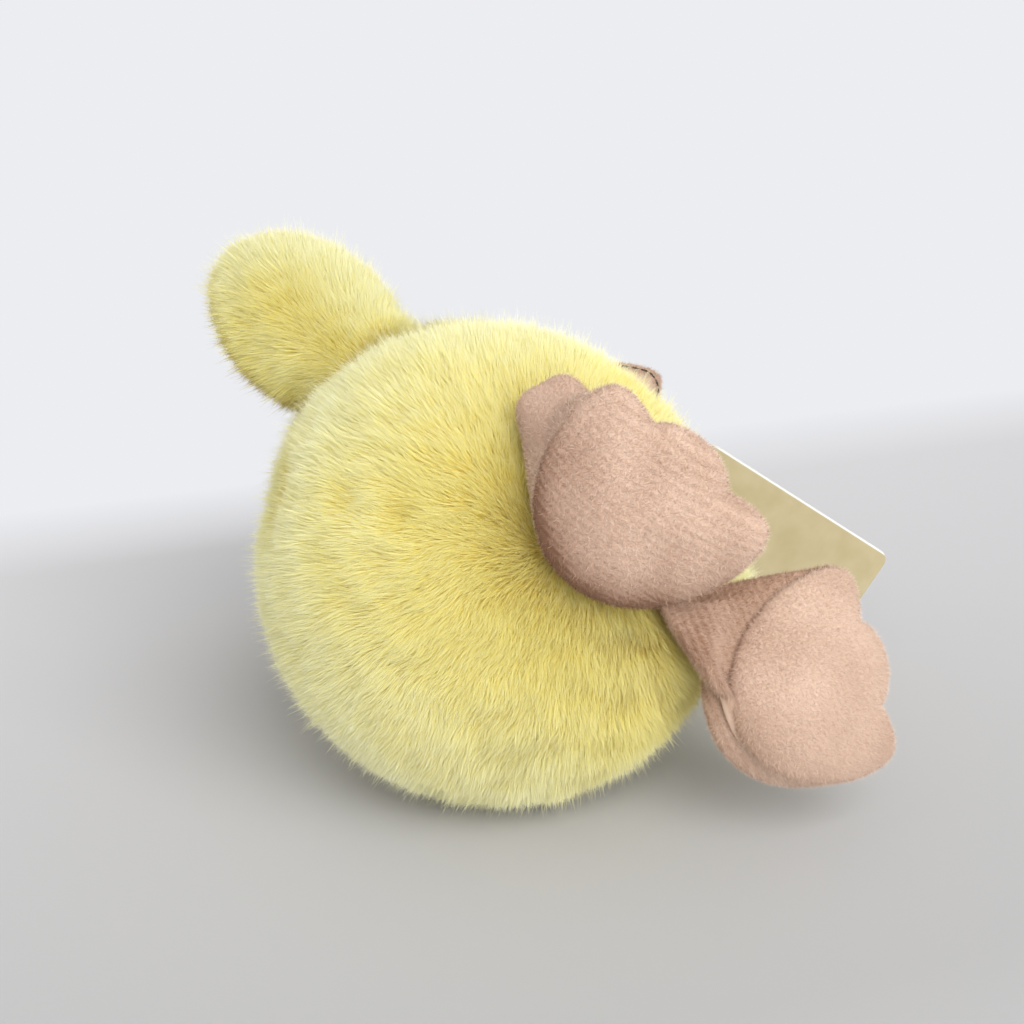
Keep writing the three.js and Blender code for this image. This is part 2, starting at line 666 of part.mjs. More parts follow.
const chick = new THREE.Group();
chick.add(laid);
chick.updateMatrixWorld(true);
const box = new THREE.Box3().setFromObject(chick, true);
const middle = box.getCenter(new THREE.Vector3());
laid.position.set(-middle.x, -middle.y, -box.min.z);
chick.updateMatrixWorld(true);

export default chick;
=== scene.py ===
import json
import math

import bpy
import numpy as np
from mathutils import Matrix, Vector
from mathutils.bvhtree import BVHTree


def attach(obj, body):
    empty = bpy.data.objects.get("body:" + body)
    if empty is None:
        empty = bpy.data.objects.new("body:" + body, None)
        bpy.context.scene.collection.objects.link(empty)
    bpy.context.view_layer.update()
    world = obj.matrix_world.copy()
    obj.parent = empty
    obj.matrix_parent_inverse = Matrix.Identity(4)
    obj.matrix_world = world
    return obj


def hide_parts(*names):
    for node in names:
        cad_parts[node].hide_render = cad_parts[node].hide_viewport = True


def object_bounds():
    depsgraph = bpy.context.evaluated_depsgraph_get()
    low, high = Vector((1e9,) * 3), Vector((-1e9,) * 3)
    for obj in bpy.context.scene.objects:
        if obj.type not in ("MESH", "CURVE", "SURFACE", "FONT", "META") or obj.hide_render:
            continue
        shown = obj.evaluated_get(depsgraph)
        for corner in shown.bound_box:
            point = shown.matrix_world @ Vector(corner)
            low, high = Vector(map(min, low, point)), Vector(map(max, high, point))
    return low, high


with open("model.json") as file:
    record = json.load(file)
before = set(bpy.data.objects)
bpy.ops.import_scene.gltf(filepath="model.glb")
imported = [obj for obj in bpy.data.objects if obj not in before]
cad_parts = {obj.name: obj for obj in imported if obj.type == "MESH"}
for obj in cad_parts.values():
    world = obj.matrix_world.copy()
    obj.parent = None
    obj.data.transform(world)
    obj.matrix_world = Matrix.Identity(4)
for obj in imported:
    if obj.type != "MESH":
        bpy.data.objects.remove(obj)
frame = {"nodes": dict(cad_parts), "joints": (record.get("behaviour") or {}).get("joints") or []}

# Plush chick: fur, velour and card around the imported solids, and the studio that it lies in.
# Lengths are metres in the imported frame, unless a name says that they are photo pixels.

CAD_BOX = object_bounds()
CAD_HEIGHT = CAD_BOX[1][2]
MM = 0.001
SIDES = ("left", "right")
JOINTS = {joint["name"]: joint for joint in frame["joints"]}

# Chick's own frame, from its hinges: +x its left, +y its back, +z up
LEFT = np.array(JOINTS["left_foot_bend"]["axis"])
UP = np.array(JOINTS["left_wing_swing"]["axis"])
BACK = np.cross(UP, LEFT)
AXES = np.array([LEFT, BACK, UP])
NECK = 26.04 * MM  # above the body's centre
WING_HINGES = {side: np.array(JOINTS[f"{side}_wing_swing"]["pos_m"]) for side in SIDES}
FOOT_HINGES = {side: np.array(JOINTS[f"{side}_foot_bend"]["pos_m"]) for side in SIDES}
CENTRE = (WING_HINGES["left"] + WING_HINGES["right"]) / 2 - NECK * UP

# Camera, with its focal length in photo pixels
FOCAL = 1590
PHOTO = 1024
CAMERA_FROM_CENTRE = np.array([3.4, -278.4, 112.2]) * MM
CAMERA_DIP = math.radians(20)

# Body and head
BODY = np.array([88, 84, 80]) * MM
HEAD = np.array([77, 76, 68]) * MM
HEAD_CENTRE = np.array([0, 0, 42]) * MM
SQUARENESS = 2.15  # 2 is a plain ellipsoid, more is fuller
BASE_GORE = math.tan(math.radians(40))
CROWN_GORE = math.tan(math.radians(24))
ROOT_DEPTH = 0.7 * MM  # cloth backing below the solid's surface
BALL_SPAN = 0.99  # of the half turn from pole to pole
RAY_STEPS = np.linspace(180, 420, 2400)[:, None] * MM  # where a pixel's ray is tried

# Fur
BODY_STRANDS = 450000
HEAD_STRANDS = 260000
WING_STRANDS = 80000
FUR_LENGTH = 4.2 * MM
FINE_WIDTH = 0.12 * MM
UNDERCOAT_WIDTH = 0.19 * MM
UNDERCOAT_SHARE = 0.45
GUARD_SHARE = 0.12  # long hairs that stand out of the pile
GUARD_LENGTH = 1.5  # beside the fine strands
UNDERCOAT_LENGTH = 0.9  # beside the fine strands
LENGTH_SPREAD = (0.93, 1.07)
WIDTH_SPREAD = (0.75, 1.25)
FUR_LIFT = 0.55  # angle of a strand from the cloth, in radians
LIFT_SPREAD = 0.2
STRAND_SWAY = 0.25  # to either side of the flow
STRAND_ROLL = 0.3
STRAY_SHARE = 0.15  # strands that stand up more
STRAY_LIFT = (0.2, 0.6)
TUFT_SIZE = 6 * MM
TUFT_SWAY, TUFT_LIFT, TUFT_LENGTH = 0.5, 0.08, 0.12  # how much the pile varies from tuft to tuft
SWIRL, SWIRL_SIZE = 0.3, 22 * MM  # how the flow wanders
UNEVEN, UNEVEN_SIZE = 0.08, 9 * MM  # how the length varies
MOTTLE, MOTTLE_SIZE = 0.1, 16 * MM  # how the tone varies
TONE_SPREAD = 0.1  # from strand to strand
BACKING_TONE = np.array([0.6, 0.5])  # tone, and place between root and tip
SHADE_TONE = 0.25  # a tone below this goes over to the shade
LOW_SHARE, HIGH_SHARE = 0.86, 1.16  # the pile is pressed shorter toward the floor
PRESSED_SHARE = 0.3  # length left under a foot
FOOT_MARGIN = 0.2 * MM  # pile this near to a foot counts as under it
FLOOR_CLEARANCE = 0.4 * MM
PARTING_PIXELS = ((580, 545), (668, 600))  # the nap runs away from this line
PARTING_WIDTH = 13 * MM
PARTING_LIFT = 0.4
PALE_FROM = 48 * MM  # the fur is deeper in colour nearer to the parting, where its deeper roots show and painted shade falls under the feet, and paler away from it
BODY_TONE, PALER, PALING = 0.25, 0.6, 1.5  # at the parting, more away from it, and how late
CREASE_PIXELS = ((277, 498), (353, 504), (408, 517))  # a seam that the nap dips along
CREASE_WIDTHS = (7.5 * MM, 3.2 * MM, 3.8 * MM)
CREASE_DEPTHS = (1.0, 0.45, 0.5)  # share of the pile that is lost
CREASE_SINK = (3.2 * MM, 0.6 * MM, 0.6 * MM)  # of the cloth at each of them
CREASE_LINE, CREASE_LINE_WIDTH = 0.2, 2.5 * MM  # the same share between them
DIMPLES = (  # pixel, radius and share of the pile that is lost
    ((406, 429), 2.2 * MM, 0.35),
    ((485, 435), 2.2 * MM, 0.25),
    ((335, 566), 2.0 * MM, 0.25),
    ((628, 395), 7.0 * MM, 0.5),
)
LOST_LENGTH, LOST_LIFT, LOST_PILE_SHADE = 0.7, 0.2, 0.6  # where all the pile is lost; its tone drop is painted shade in the crease and dimples, with the deeper roots that show there
HEAD_TONE = 0.75
LOBE_FLUFF, LOBE_FLUFF_REACH = 0.4, 16 * MM  # longer pile at the head's edge in the notch
LOBE_SHADE, LOBE_SHADE_REACH = 0.7, 13 * MM
EYE_TRIM, EYE_TRIM_REACH = 0.45, 8 * MM  # shorter pile round each eye
BEAK_TRIM, BEAK_TRIM_REACH = 0.5, 17 * MM

# Eyes and beak
EYE_RADIUS = 3.5 * MM
EYE_SPREAD = math.radians(31)
EYE_RISE = 5 * MM
EYE_SINK = 2.2 * MM
EYE_CLEARANCE = 0.3 * MM  # bare cloth round it
BEAK_WIDTH = 24 * MM
BEAK_HEIGHT = 13 * MM
BEAK_REACH = 13 * MM
BEAK_ROOT = 3.2 * MM
BEAK_RISE = 2 * MM
BEAK_BLUNTNESS = 1.4
LOWER_BEAK_SHARE = 0.88
BEAK_BARE = 0.95  # share of its width and height where no fur grows
BEAK_TIP = 0.995  # a half stops just short of its point
MOUTH_GAP = 0.15 * MM  # from the mouth line to each half
MOUTH_SAG = 0.05  # of a half's flat side
MOUTH_SHADE, MOUTH_WIDTH = 0.2, 0.6 * MM
BEAK_TONE, BEAK_MOTTLE_SIZE = 0.75, 7 * MM
STITCHES = 7  # along each side of the mouth
STITCHED = (0.28, 0.97)  # share of the beak's length
STITCH_STEPS = 400  # along each side
STITCH_ENDS = np.array([0.08, 0.92])  # share of the pitch
STITCH_STAND = 0.25 * MM  # out from the seam
STITCH_DROP = 0.1 * MM  # below the mouth line
THREAD_RADIUS = 0.22 * MM
THREAD_END = 0.02  # square of the share of its radius that is left at each end
THREAD_TONE = 0.5

# Wings
WING_LENGTH = 42 * MM
WING_WIDTH = 29 * MM
WING_ROOT_WIDTH = 22 * MM
WING_ROOT_START = -7 * MM  # behind the hinge, inside the body
WING_SWELL = 15 * MM
WING_CLOSING = 0.08  # share of its rows that close its root
WING_END = 0.995  # of the quarter turn to its tip
WING_FLATNESS = 0.72
WING_DEPTH = 0.6 * MM  # cloth backing below the solid's surface
WING_PARTING = np.array([[-12, 0, 0], [22, 0, 0]]) * MM  # the nap runs away from this line
WING_PARTING_WIDTH = 6 * MM
WING_SWEEP = np.array([0.5, 0, 0])  # of the nap, toward the tip
WING_LIT = np.array([0.6, 0, 0.8])  # side that is paler
WING_TONE, WING_PARTED, WING_SHADED = 0.85, 0.45, 0.95
WING_MOTTLE_SIZE = 14 * MM
WING_TURNS = {"left": (-90, 0), "right": (155, 46)}  # turn about up, then raise
TAG_CLEARANCE = 1.2 * MM  # above the left wing
TAG_LEVEL = NECK + WING_WIDTH / 2 * WING_FLATNESS + TAG_CLEARANCE
CARD_CLEARANCE = 0.4 * MM  # from the card to the pile below it

# Card tag: its fold, and the way from the fold to its open edge
FOLD = np.array(JOINTS["tag_open"]["pos_m"])
FOLD_ALONG = np.array(JOINTS["tag_open"]["axis"])
TAG_ACROSS = np.cross(UP, FOLD_ALONG)
TAG_ACROSS = TAG_ACROSS * np.sign((np.array(JOINTS["tag_swing"]["pos_m"]) - FOLD) @ TAG_ACROSS)
TAG_WIDTH = 22 * MM
CUT_EDGE = (0.3 * MM, 0.5 * MM)  # its white ends between these, from the open edge
CARD_MOTTLE_SIZE = 5 * MM

# Feet
FOOT_LENGTH = 31.5 * MM
FOOT_WIDTH = 38 * MM
TOE_LINE = 22.5 * MM
OUTER_TOE_REACH = 30 * MM
OUTER_TOE_PLACE = 14.5 * MM
MIDDLE_TOE_PLACE = 5.2 * MM
NOTCH_REACH = 27.8 * MM
NOTCH_SPREAD = 8 * MM
CROWN_PLACE = 16 * MM
TOP_CROWN = 8.5 * MM
SOLE_CROWN = 5.5 * MM
CUBIC_RISE = 0.75  # share of the way to its handles
HEEL_STEPS, TOE_STEPS = 80, 40
RIM_POINTS = 180
RIM_SOFTNESS = 12  # points that an inner ring is evened out over, to each side
NOTCH_FADE = 4  # how fast the notches fade away from the seam
PANEL_END = 0.999  # a panel stops just short of its middle
PADDING, PADDING_SIZE = 0.08, 14 * MM
LEG_WIDTH = 23 * MM
LEG_THICKNESS = 13 * MM
LEG_SEAT = np.array([-4, -11.5, 0.3]) * MM  # from the heel
LEG_BASE = np.array([23, 15]) * MM  # half width and half length where it leaves the foot
LEG_INSET = 0.985  # it leaves the foot just inside the seam
LEG_REACH = 40 * MM  # from the seat, past every part of a leg
LEG_SQUARENESS = 4  # of its section; 2 is round
LEG_CAP = 4 * MM  # rounded end past the hinge
LEG_CAP_ROW = 0.65  # share of a sleeve's rows below its rounded end
FOOT_POSES = {  # heel, then yaw, roll and dip
    "right": (np.array([-6.5, -9.9, -43.3]) * MM, (-14.1, 4.2, 11.4)),
    "left": (np.array([32.9, -20.5, -40]) * MM, (17.3, 7.8, -14)),
}
SEAM_TUCK = math.radians(5)  # a panel's edge turns in at its seam
PUCKER = 0.004
FINE_PUCKERS, COARSE_PUCKERS = 34, 13  # round the seam
PUCKER_REACH = math.radians(14)
HEEL_BULGE = {"right": 0.0, "left": 0.4}  # of the top past its seam
BULGE_REACH = 26 * MM  # from the heel
RIB_PITCH = 1.5 * MM
RIB_SLANT, RIB_CLIMB = 0.15, 0.4
RIBS = {"right": 0.1, "left": 0.03}  # how much they show on each sole
LEG_RIBS = {"right": 0.03, "left": 0.09}  # and on each top and leg
LEG_SHADE = {"right": 0.0, "left": 0.5}  # darker than the sole
LEG_SHADE_WIDTH = 16 * MM
NAP_LENGTH = 1.0 * MM
NAP_SPREAD = (0.5, 1.2)
NAP_LIFT = 0.5
NAP_WIDTH = 0.09 * MM
NAP_DENSITY = 24 / MM ** 2
NAP_TONE_SPREAD = 0.12
NAP_BACKING = 0.2  # its colour's place between root and tip
FOOT_FLOW = np.array([0.6, -1.0, 0])  # of the nap
FOOT_TONE, FOOT_MOTTLE_SIZE = 0.7, 9 * MM
SEAM_GLINT, SEAM_WIDTH = 0.15, 0.7 * MM  # paler along the puckered seam
HEEL_SHADE = {"right": 1.0, "left": 0.2}  # darker where the sole turns in at its heel
HEEL_REACH = 26 * MM
TURNED_IN = 3  # how late the sole turns in

# Smooth fields and maps
WAVES = 6
WAVE_SPREAD = (0.7, 1.5)  # of the wavelength
WAVE_PEAK = 3.5  # about the largest sum of the waves
MAP_EDGE = 0.01  # a map stays this far inside its square


# Points and frames

def to_world(points):
    return CENTRE + points @ AXES


def to_local(points):
    return (points - CENTRE) @ AXES.T


def unit(vectors):
    return vectors / (np.linalg.norm(vectors, axis=-1, keepdims=True) + 1e-12)


def turn_z(degrees):
    c, s = math.cos(math.radians(degrees)), math.sin(math.radians(degrees))
    return np.array([[c, -s, 0], [s, c, 0], [0, 0, 1]])


def turn_y(degrees):
    c, s = math.cos(math.radians(degrees)), math.sin(math.radians(degrees))
    return np.array([[c, 0, s], [0, 1, 0], [-s, 0, c]])


def turn_x(degrees):
    c, s = math.cos(math.radians(degrees)), math.sin(math.radians(degrees))
    return np.array([[1, 0, 0], [0, c, -s], [0, s, c]])


def linear(red, green, blue):
    """A colour written in screen values from 0 to 255, as Blender's linear colour."""
    screen = np.array([red, green, blue]) / 255
    low, high = screen / 12.92, ((screen + 0.055) / 1.055) ** 2.4
    return (*np.where(screen <= 0.04045, low, high).tolist(), 1.0)


def ripple(points, wavelength, seed):
    """A smooth field from about -1 to 1 that varies over about a wavelength."""
    rng = np.random.default_rng(seed)
    field = np.zeros(len(points))
    for _ in range(WAVES):
        wave = unit(rng.normal(size=3)) * 2 * math.pi / (wavelength * rng.uniform(*WAVE_SPREAD))
        field += np.sin(points @ wave + rng.uniform(0, 2 * math.pi))
    return field / WAVE_PEAK


def fade(distance, width):
    """1 at no distance, and falling to 0 within about twice a width."""
    return np.exp(-(distance / width) ** 2)


def near(points, place, radius):
    return fade(np.linalg.norm(points - place, axis=1), radius)


# Sheets of quads

def normals_of(points, quads):
    a, b, c, d = (points[quads[:, i]] for i in range(4))
    across = np.cross(c - a, d - b)
    normals = np.zeros_like(points)
    for i in range(4):
        np.add.at(normals, quads[:, i], across)
    return unit(normals)


def tube(rows, columns, place):
    """A tube of quads that faces outward: place(row share, column share) gives its points."""
    row, column = np.meshgrid(np.linspace(0, 1, rows), np.arange(columns) / columns, indexing="ij")
    points = place(row.ravel(), column.ravel())
    index = np.arange(rows * columns).reshape(rows, columns)
    right = np.roll(index, -1, axis=1)
    quads = np.stack([index[:-1], right[:-1], right[1:], index[1:]], axis=-1).reshape(-1, 4)
    outward = (normals_of(points, quads) * (points - points.mean(axis=0))).sum()
    return points, quads if outward > 0 else quads[:, ::-1]


def scatter(points, quads, normals, count, rng):
    """Places spread evenly over a sheet, with their normals."""
    tris = np.concatenate([quads[:, [0, 1, 2]], quads[:, [0, 2, 3]]])
    a, b, c = (points[tris[:, i]] for i in range(3))
    area = np.cumsum(np.linalg.norm(np.cross(b - a, c - a), axis=1))
    picked = np.searchsorted(area, (np.arange(count) + rng.random(count)) / count * area[-1])
    first, second = rng.random(count), rng.random(count)
    over = first + second > 1
    first[over], second[over] = 1 - first[over], 1 - second[over]
    shares = np.stack([1 - first - second, first, second], axis=1)[:, :, None]
    places = (points[tris[picked]] * shares).sum(axis=1)
    return places, unit((normals[tris[picked]] * shares).sum(axis=1))


def area_of(points, quads):
    a, b, c, d = (points[quads[:, i]] for i in range(4))
    return np.linalg.norm(np.cross(c - a, d - b), axis=1).sum() / 2


def make_piece(name, sheet, material):
    """An object whose map holds a tone across, and the way from root to tip upward."""
    points, quads, tris, tones, normals = sheet
    mesh = bpy.data.meshes.new(name)
    mesh.vertices.add(len(points))
    mesh.vertices.foreach_set("co", points.astype(np.float32).ravel())
    corners = np.concatenate([quads.ravel(), tris.ravel()]).astype(np.int32)
    mesh.loops.add(len(corners))
    mesh.loops.foreach_set("vertex_index", corners)
    starts = np.concatenate([np.arange(len(quads)) * 4, len(quads) * 4 + np.arange(len(tris)) * 3])
    mesh.polygons.add(len(starts))
    mesh.polygons.foreach_set("loop_start", starts.astype(np.int32))
    mesh.update(calc_edges=True)
    layer = mesh.uv_layers.new(name="OFBake")
    places = np.clip(tones, MAP_EDGE, 1 - MAP_EDGE)[corners]
    layer.data.foreach_set("uv", places.astype(np.float32).ravel())
    mesh.polygons.foreach_set("use_smooth", np.ones(len(starts), bool))
    mesh.normals_split_custom_set_from_vertices(normals.astype(np.float32))
    mesh.materials.append(material)
    piece = bpy.data.objects.new(name, mesh)
    bpy.context.scene.collection.objects.link(piece)
    return piece


def join_sheets(sheets):
    """One sheet from several: points, quads, tris, tones and normals."""
    offset, joined = 0, []
    for points, quads, tris, tones, normals in sheets:
        joined.append((points, quads + offset, tris + offset, tones, normals))
        offset += len(points)
    return [np.concatenate(column) for column in zip(*joined)]


NO_TRIS, NO_QUADS = np.zeros((0, 3), int), np.zeros((0, 4), int)


# Strands: each is a long triangle from a root on the cloth to its tip

class Pile:
    """Strands by root and tip, with the cloth's normal, a tone and a width for each."""

    def __init__(self, root, tip, normal, tone, width):
        self.root, self.tip, self.normal, self.tone, self.width = root, tip, normal, tone, width

    def only(self, chosen):
        parts = (self.root, self.tip, self.normal, self.tone, self.width)
        return Pile(*(part[chosen] for part in parts))


def comb(root, normal, flow, length, lift, rng):
    """Tip of each strand, laid along a flow at an angle of lift from the cloth, with some that stray."""
    along = unit(flow - (flow * normal).sum(axis=1, keepdims=True) * normal)
    along = unit(along + np.cross(normal, along) * rng.normal(scale=STRAND_SWAY, size=(len(root), 1)))
    stray = (rng.random(len(root)) < STRAY_SHARE) * rng.uniform(*STRAY_LIFT, size=len(root))
    angle = (lift + stray + rng.normal(scale=LIFT_SPREAD, size=len(root)))[:, None]
    return root + length[:, None] * (along * np.cos(angle) + normal * np.sin(angle))


def strands(pile, rng):
    """The sheet of triangles that draws a pile."""
    count = len(pile.root)
    along = unit(pile.tip - pile.root)
    side = unit(np.cross(along, pile.normal))
    roll = rng.uniform(-STRAND_ROLL, STRAND_ROLL, size=count)[:, None]
    side = side * np.cos(roll) + np.cross(along, side) * np.sin(roll)
    half = side * (pile.width * rng.uniform(*WIDTH_SPREAD, size=count) / 2)[:, None]
    points = np.stack([pile.root - half, pile.root + half, pile.tip], axis=1).reshape(-1, 3)
    way = np.tile(np.array([0.0, 0.0, 1.0]), (count, 1))
    tones = np.stack([np.repeat(pile.tone[:, None], 3, axis=1), way], axis=-1).reshape(-1, 2)
    normals = np.repeat(unit(np.cross(side, along)), 3, axis=0)
    return points, NO_QUADS, np.arange(3 * count).reshape(-1, 3), tones, normals


# Feet: outline, cushion and leg in each foot's own frame

def bezier(start, first, second, end):
    t = np.linspace(0, 1, TOE_STEPS, endpoint=False)[:, None]
    points = [np.array(p) for p in (start, first, second, end)]
    shares = ((1 - t) ** 3, 3 * t * (1 - t) ** 2, 3 * t ** 2 * (1 - t), t ** 3)
    return sum(share * point for share, point in zip(shares, points))


def foot_outline(count):
    half = FOOT_WIDTH / 2
    turn = np.linspace(math.pi, 2 * math.pi, HEEL_STEPS, endpoint=False)
    heel = np.stack([half * np.cos(turn), TOE_LINE + TOE_LINE * np.sin(turn)], axis=1)
    peak = NOTCH_REACH + (FOOT_LENGTH - NOTCH_REACH) / CUBIC_RISE
    notches = [(side * NOTCH_SPREAD, NOTCH_REACH) for side in (1, -1)]
    place, reach = OUTER_TOE_PLACE, OUTER_TOE_REACH
    rim = np.concatenate([
        heel,
        bezier((half, TOE_LINE), (half, reach), (place, reach), notches[0]),
        bezier(notches[0], (MIDDLE_TOE_PLACE, peak), (-MIDDLE_TOE_PLACE, peak), notches[1]),
        bezier(notches[1], (-place, reach), (-half, reach), (-half, TOE_LINE)),
    ])
    closed = np.concatenate([rim, rim[:1]])
    run = np.concatenate([[0], np.cumsum(np.linalg.norm(np.diff(closed, axis=0), axis=1))])
    spots = np.linspace(0, run[-1], count, endpoint=False)
    return np.stack([np.interp(spots, run, closed[:, i]) for i in range(2)], axis=1)


def smoothed(outline, spread):
    """An outline with its notches evened out over a spread of points to each side."""
    return sum(np.roll(outline, step, axis=0) for step in range(-spread, spread + 1)) / (2 * spread + 1)


RIM = foot_outline(RIM_POINTS)
SOFT_RIM = smoothed(smoothed(RIM, RIM_SOFTNESS), RIM_SOFTNESS)
MIDDLE = np.array([0, CROWN_PLACE])


def rim_radius(plan):
    """How far the seam is from the middle, in the direction of each place from the middle."""
    rim = RIM - MIDDLE
    bearings, radii = np.arctan2(rim[:, 1], rim[:, 0]), np.linalg.norm(rim, axis=1)
    return np.interp(np.arctan2(plan[:, 1], plan[:, 0]), bearings, radii, period=2 * math.pi)


def panel_share(angle, rim_place, bulge):
    """Share of the way from the middle to the seam, by the angle up from the seam."""
    heel = np.clip(1 - rim_place / BULGE_REACH, 0, 1)
    return np.cos(angle) + bulge * heel * np.sin(2 * np.maximum(angle, 0))


def foot_panel(crown, bulge):
    """A cushioned panel with a tucked seam and a bulge at the heel; a sole's crown is negative."""
    def place(row, column):
        angle = -SEAM_TUCK + row * (math.pi / 2 + SEAM_TUCK) * PANEL_END
        index = np.round(column * RIM_POINTS).astype(int) % RIM_POINTS
        edge = np.clip(np.cos(angle), 0, 1)[:, None] ** NOTCH_FADE
        rim = RIM[index] * edge + SOFT_RIM[index] * (1 - edge)
        from_seam = (angle + SEAM_TUCK) / PUCKER_REACH
        turn = column * 2 * math.pi
        pucker = PUCKER * (np.sin(turn * FINE_PUCKERS) + np.sin(turn * COARSE_PUCKERS + 1))
        share = panel_share(angle, RIM[index][:, 1], bulge) + pucker * np.exp(-from_seam)
        level = crown * (np.sin(angle) + math.sin(SEAM_TUCK)) / (1 + math.sin(SEAM_TUCK))
        flat = MIDDLE + (rim - MIDDLE) * share[:, None]
        points = np.stack([flat[:, 0], -flat[:, 1], level], axis=1)
        points[:, 2] *= 1 + PADDING * ripple(points, PADDING_SIZE, seed=5)
        return points
    return tube(rows=26, columns=RIM_POINTS, place=place)


def foot_frame(side):
    heel, (yaw, roll, dip) = FOOT_POSES[side]
    return heel, turn_z(yaw) @ turn_y(roll) @ turn_x(dip)


def foot_to_world(points, side):
    heel, turn = foot_frame(side)
    return to_world(points @ turn.T + heel)


def world_to_foot(points, side):
    heel, turn = foot_frame(side)
    return (to_local(points) - heel) @ turn


def leg_frame(side):
    """Hinge, and the directions along, across and through a leg, in its foot's frame."""
    hinge = world_to_foot(FOOT_HINGES[side][None], side)[0]
    along = unit(hinge - LEG_SEAT)
    across = np.array([1.0, 0, 0]) @ foot_frame(side)[1]
    through = unit(np.cross(along, across))
    return hinge, along, across, through if through[1] > 0 else -through


def squared(value, squareness):
    return np.sign(value) * np.abs(value) ** (2 / squareness)


def leg_base(turn):
    """Offset from the seat to where a leg leaves its foot: an oval that follows the heel's seam."""
    flat = np.stack([np.cos(turn), -np.sin(turn)], axis=1) * LEG_BASE + LEG_SEAT[:2] * (1, -1) - MIDDLE
    flat *= np.minimum(1, LEG_INSET * rim_radius(flat) / np.linalg.norm(flat, axis=1))[:, None]
    flat += MIDDLE
    return np.stack([flat[:, 0], -flat[:, 1], np.zeros(len(turn))], axis=1) - LEG_SEAT * (1, 1, 0)


def leg_sleeve(side):
    """A sleeve of cloth that leaves the foot at its seam, and narrows to a squarish end at its hinge."""
    hinge, along, across, through = leg_frame(side)
    length = np.linalg.norm(hinge - LEG_SEAT)

    def place(row, column):
        share = np.clip(row / LEG_CAP_ROW, 0, 1)
        rounding = np.sin(np.clip((row - LEG_CAP_ROW) / (1 - LEG_CAP_ROW), 0, 1) * math.pi / 2)
        reach = share * length + rounding * LEG_CAP
        ease = (share * share * (3 - 2 * share))[:, None]
        swell = (1 - rounding ** LEG_SQUARENESS) ** (1 / LEG_SQUARENESS)
        turn = column * 2 * math.pi
        end = (across * (squared(np.cos(turn), LEG_SQUARENESS) * LEG_WIDTH / 2)[:, None]
               + through * (squared(np.sin(turn), LEG_SQUARENESS) * LEG_THICKNESS / 2)[:, None])
        offset = leg_base(turn) * (1 - ease) + end * ease * swell[:, None]
        return LEG_SEAT + along * reach[:, None] + offset
    return tube(rows=40, columns=90, place=place)


LEG_TREES = {side: BVHTree.FromPolygons(*(part.tolist() for part in leg_sleeve(side))) for side in SIDES}


def inside_foot(points, side, margin):
    """True for points within a foot's cushion or leg, grown by a margin."""
    spots = world_to_foot(points, side)
    plan = np.stack([spots[:, 0], -spots[:, 1]], axis=1) - MIDDLE
    radius = rim_radius(plan)
    rim_place = CROWN_PLACE + unit(plan)[:, 1] * radius
    level = spots[:, 2] / np.where(spots[:, 2] > 0, TOP_CROWN + margin, -SOLE_CROWN - margin)
    share = panel_share(np.arcsin(np.clip(level, 0, 1)), rim_place, HEEL_BULGE[side] * (spots[:, 2] > 0))
    inside = (level < 1) & (np.linalg.norm(plan, axis=1) < radius * share + margin)
    for i in np.flatnonzero(~inside & (np.linalg.norm(spots - LEG_SEAT, axis=1) < LEG_REACH)):
        surface, normal, _, away = LEG_TREES[side].find_nearest(spots[i])
        within = away < LEG_THICKNESS and (Vector(spots[i]) - surface).dot(normal) < 0
        inside[i] = within or away < margin
    return inside


# Body and head: balls of stuffed cloth, in the chick's own frame

def fullness(points, size):
    """Below 1 inside a ball of this size, and above 1 outside it."""
    half = size / 2
    flat = np.hypot(points[:, 0] / half[0], points[:, 1] / half[1])
    return (flat ** SQUARENESS + (np.abs(points[:, 2]) / half[2]) ** SQUARENESS) ** (1 / SQUARENESS)


def ball_sheet(size, rows, columns):
    def place(row, column):
        rise, turn = (row - 0.5) * math.pi * BALL_SPAN, column * 2 * math.pi
        flat = np.cos(rise)
        directions = np.stack([flat * np.cos(turn), flat * np.sin(turn), np.sin(rise)], axis=1)
        return directions / fullness(directions, size)[:, None]
    return tube(rows, columns, place)


def on_body(pixel):
    """The place on the body's surface that a photo pixel shows, in the chick's own frame."""
    right, up = (pixel[0] - PHOTO / 2) / FOCAL, (PHOTO / 2 - pixel[1]) / FOCAL
    c, s = math.cos(CAMERA_DIP), math.sin(CAMERA_DIP)
    ray = unit(np.array([right, c + up * s, up * c - s]))
    spots = to_local(CENTRE + CAMERA_FROM_CENTRE + ray * RAY_STEPS)
    return spots[np.argmax(fullness(spots, BODY) < 1)]


def from_line(points, start, end):
    """Offset of points from a straight line between two ends."""
    run = end - start
    share = np.clip((points - start) @ run / (run @ run), 0, 1)[:, None]
    return points - start - share * run


LOBE_WAY = unit(np.array([-1.0, 0, 0]) @ AXES.T)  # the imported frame's -x
LOBE = HEAD_CENTRE + LOBE_WAY * HEAD / 2  # head's edge in the notch
PARTING = [on_body(pixel) for pixel in PARTING_PIXELS]
CREASE = [on_body(pixel) for pixel in CREASE_PIXELS]
BEAK_CENTRE = np.array([0, BEAK_ROOT - HEAD[1] / 2, HEAD_CENTRE[2] + BEAK_RISE])


def lost_pile(points):
    """Share of the pile that is lost along the seam's crease and in dimples."""
    lost = np.zeros(len(points))
    for place, radius, depth in zip(CREASE, CREASE_WIDTHS, CREASE_DEPTHS):
        lost = np.maximum(lost, depth * near(points, place, radius))
    for start, end in zip(CREASE, CREASE[1:]):
        away = np.linalg.norm(from_line(points, start, end), axis=1)
        lost = np.maximum(lost, CREASE_LINE * fade(away, CREASE_LINE_WIDTH))
    for pixel, radius, depth in DIMPLES:
        lost = np.maximum(lost, depth * near(points, on_body(pixel), radius))
    return lost


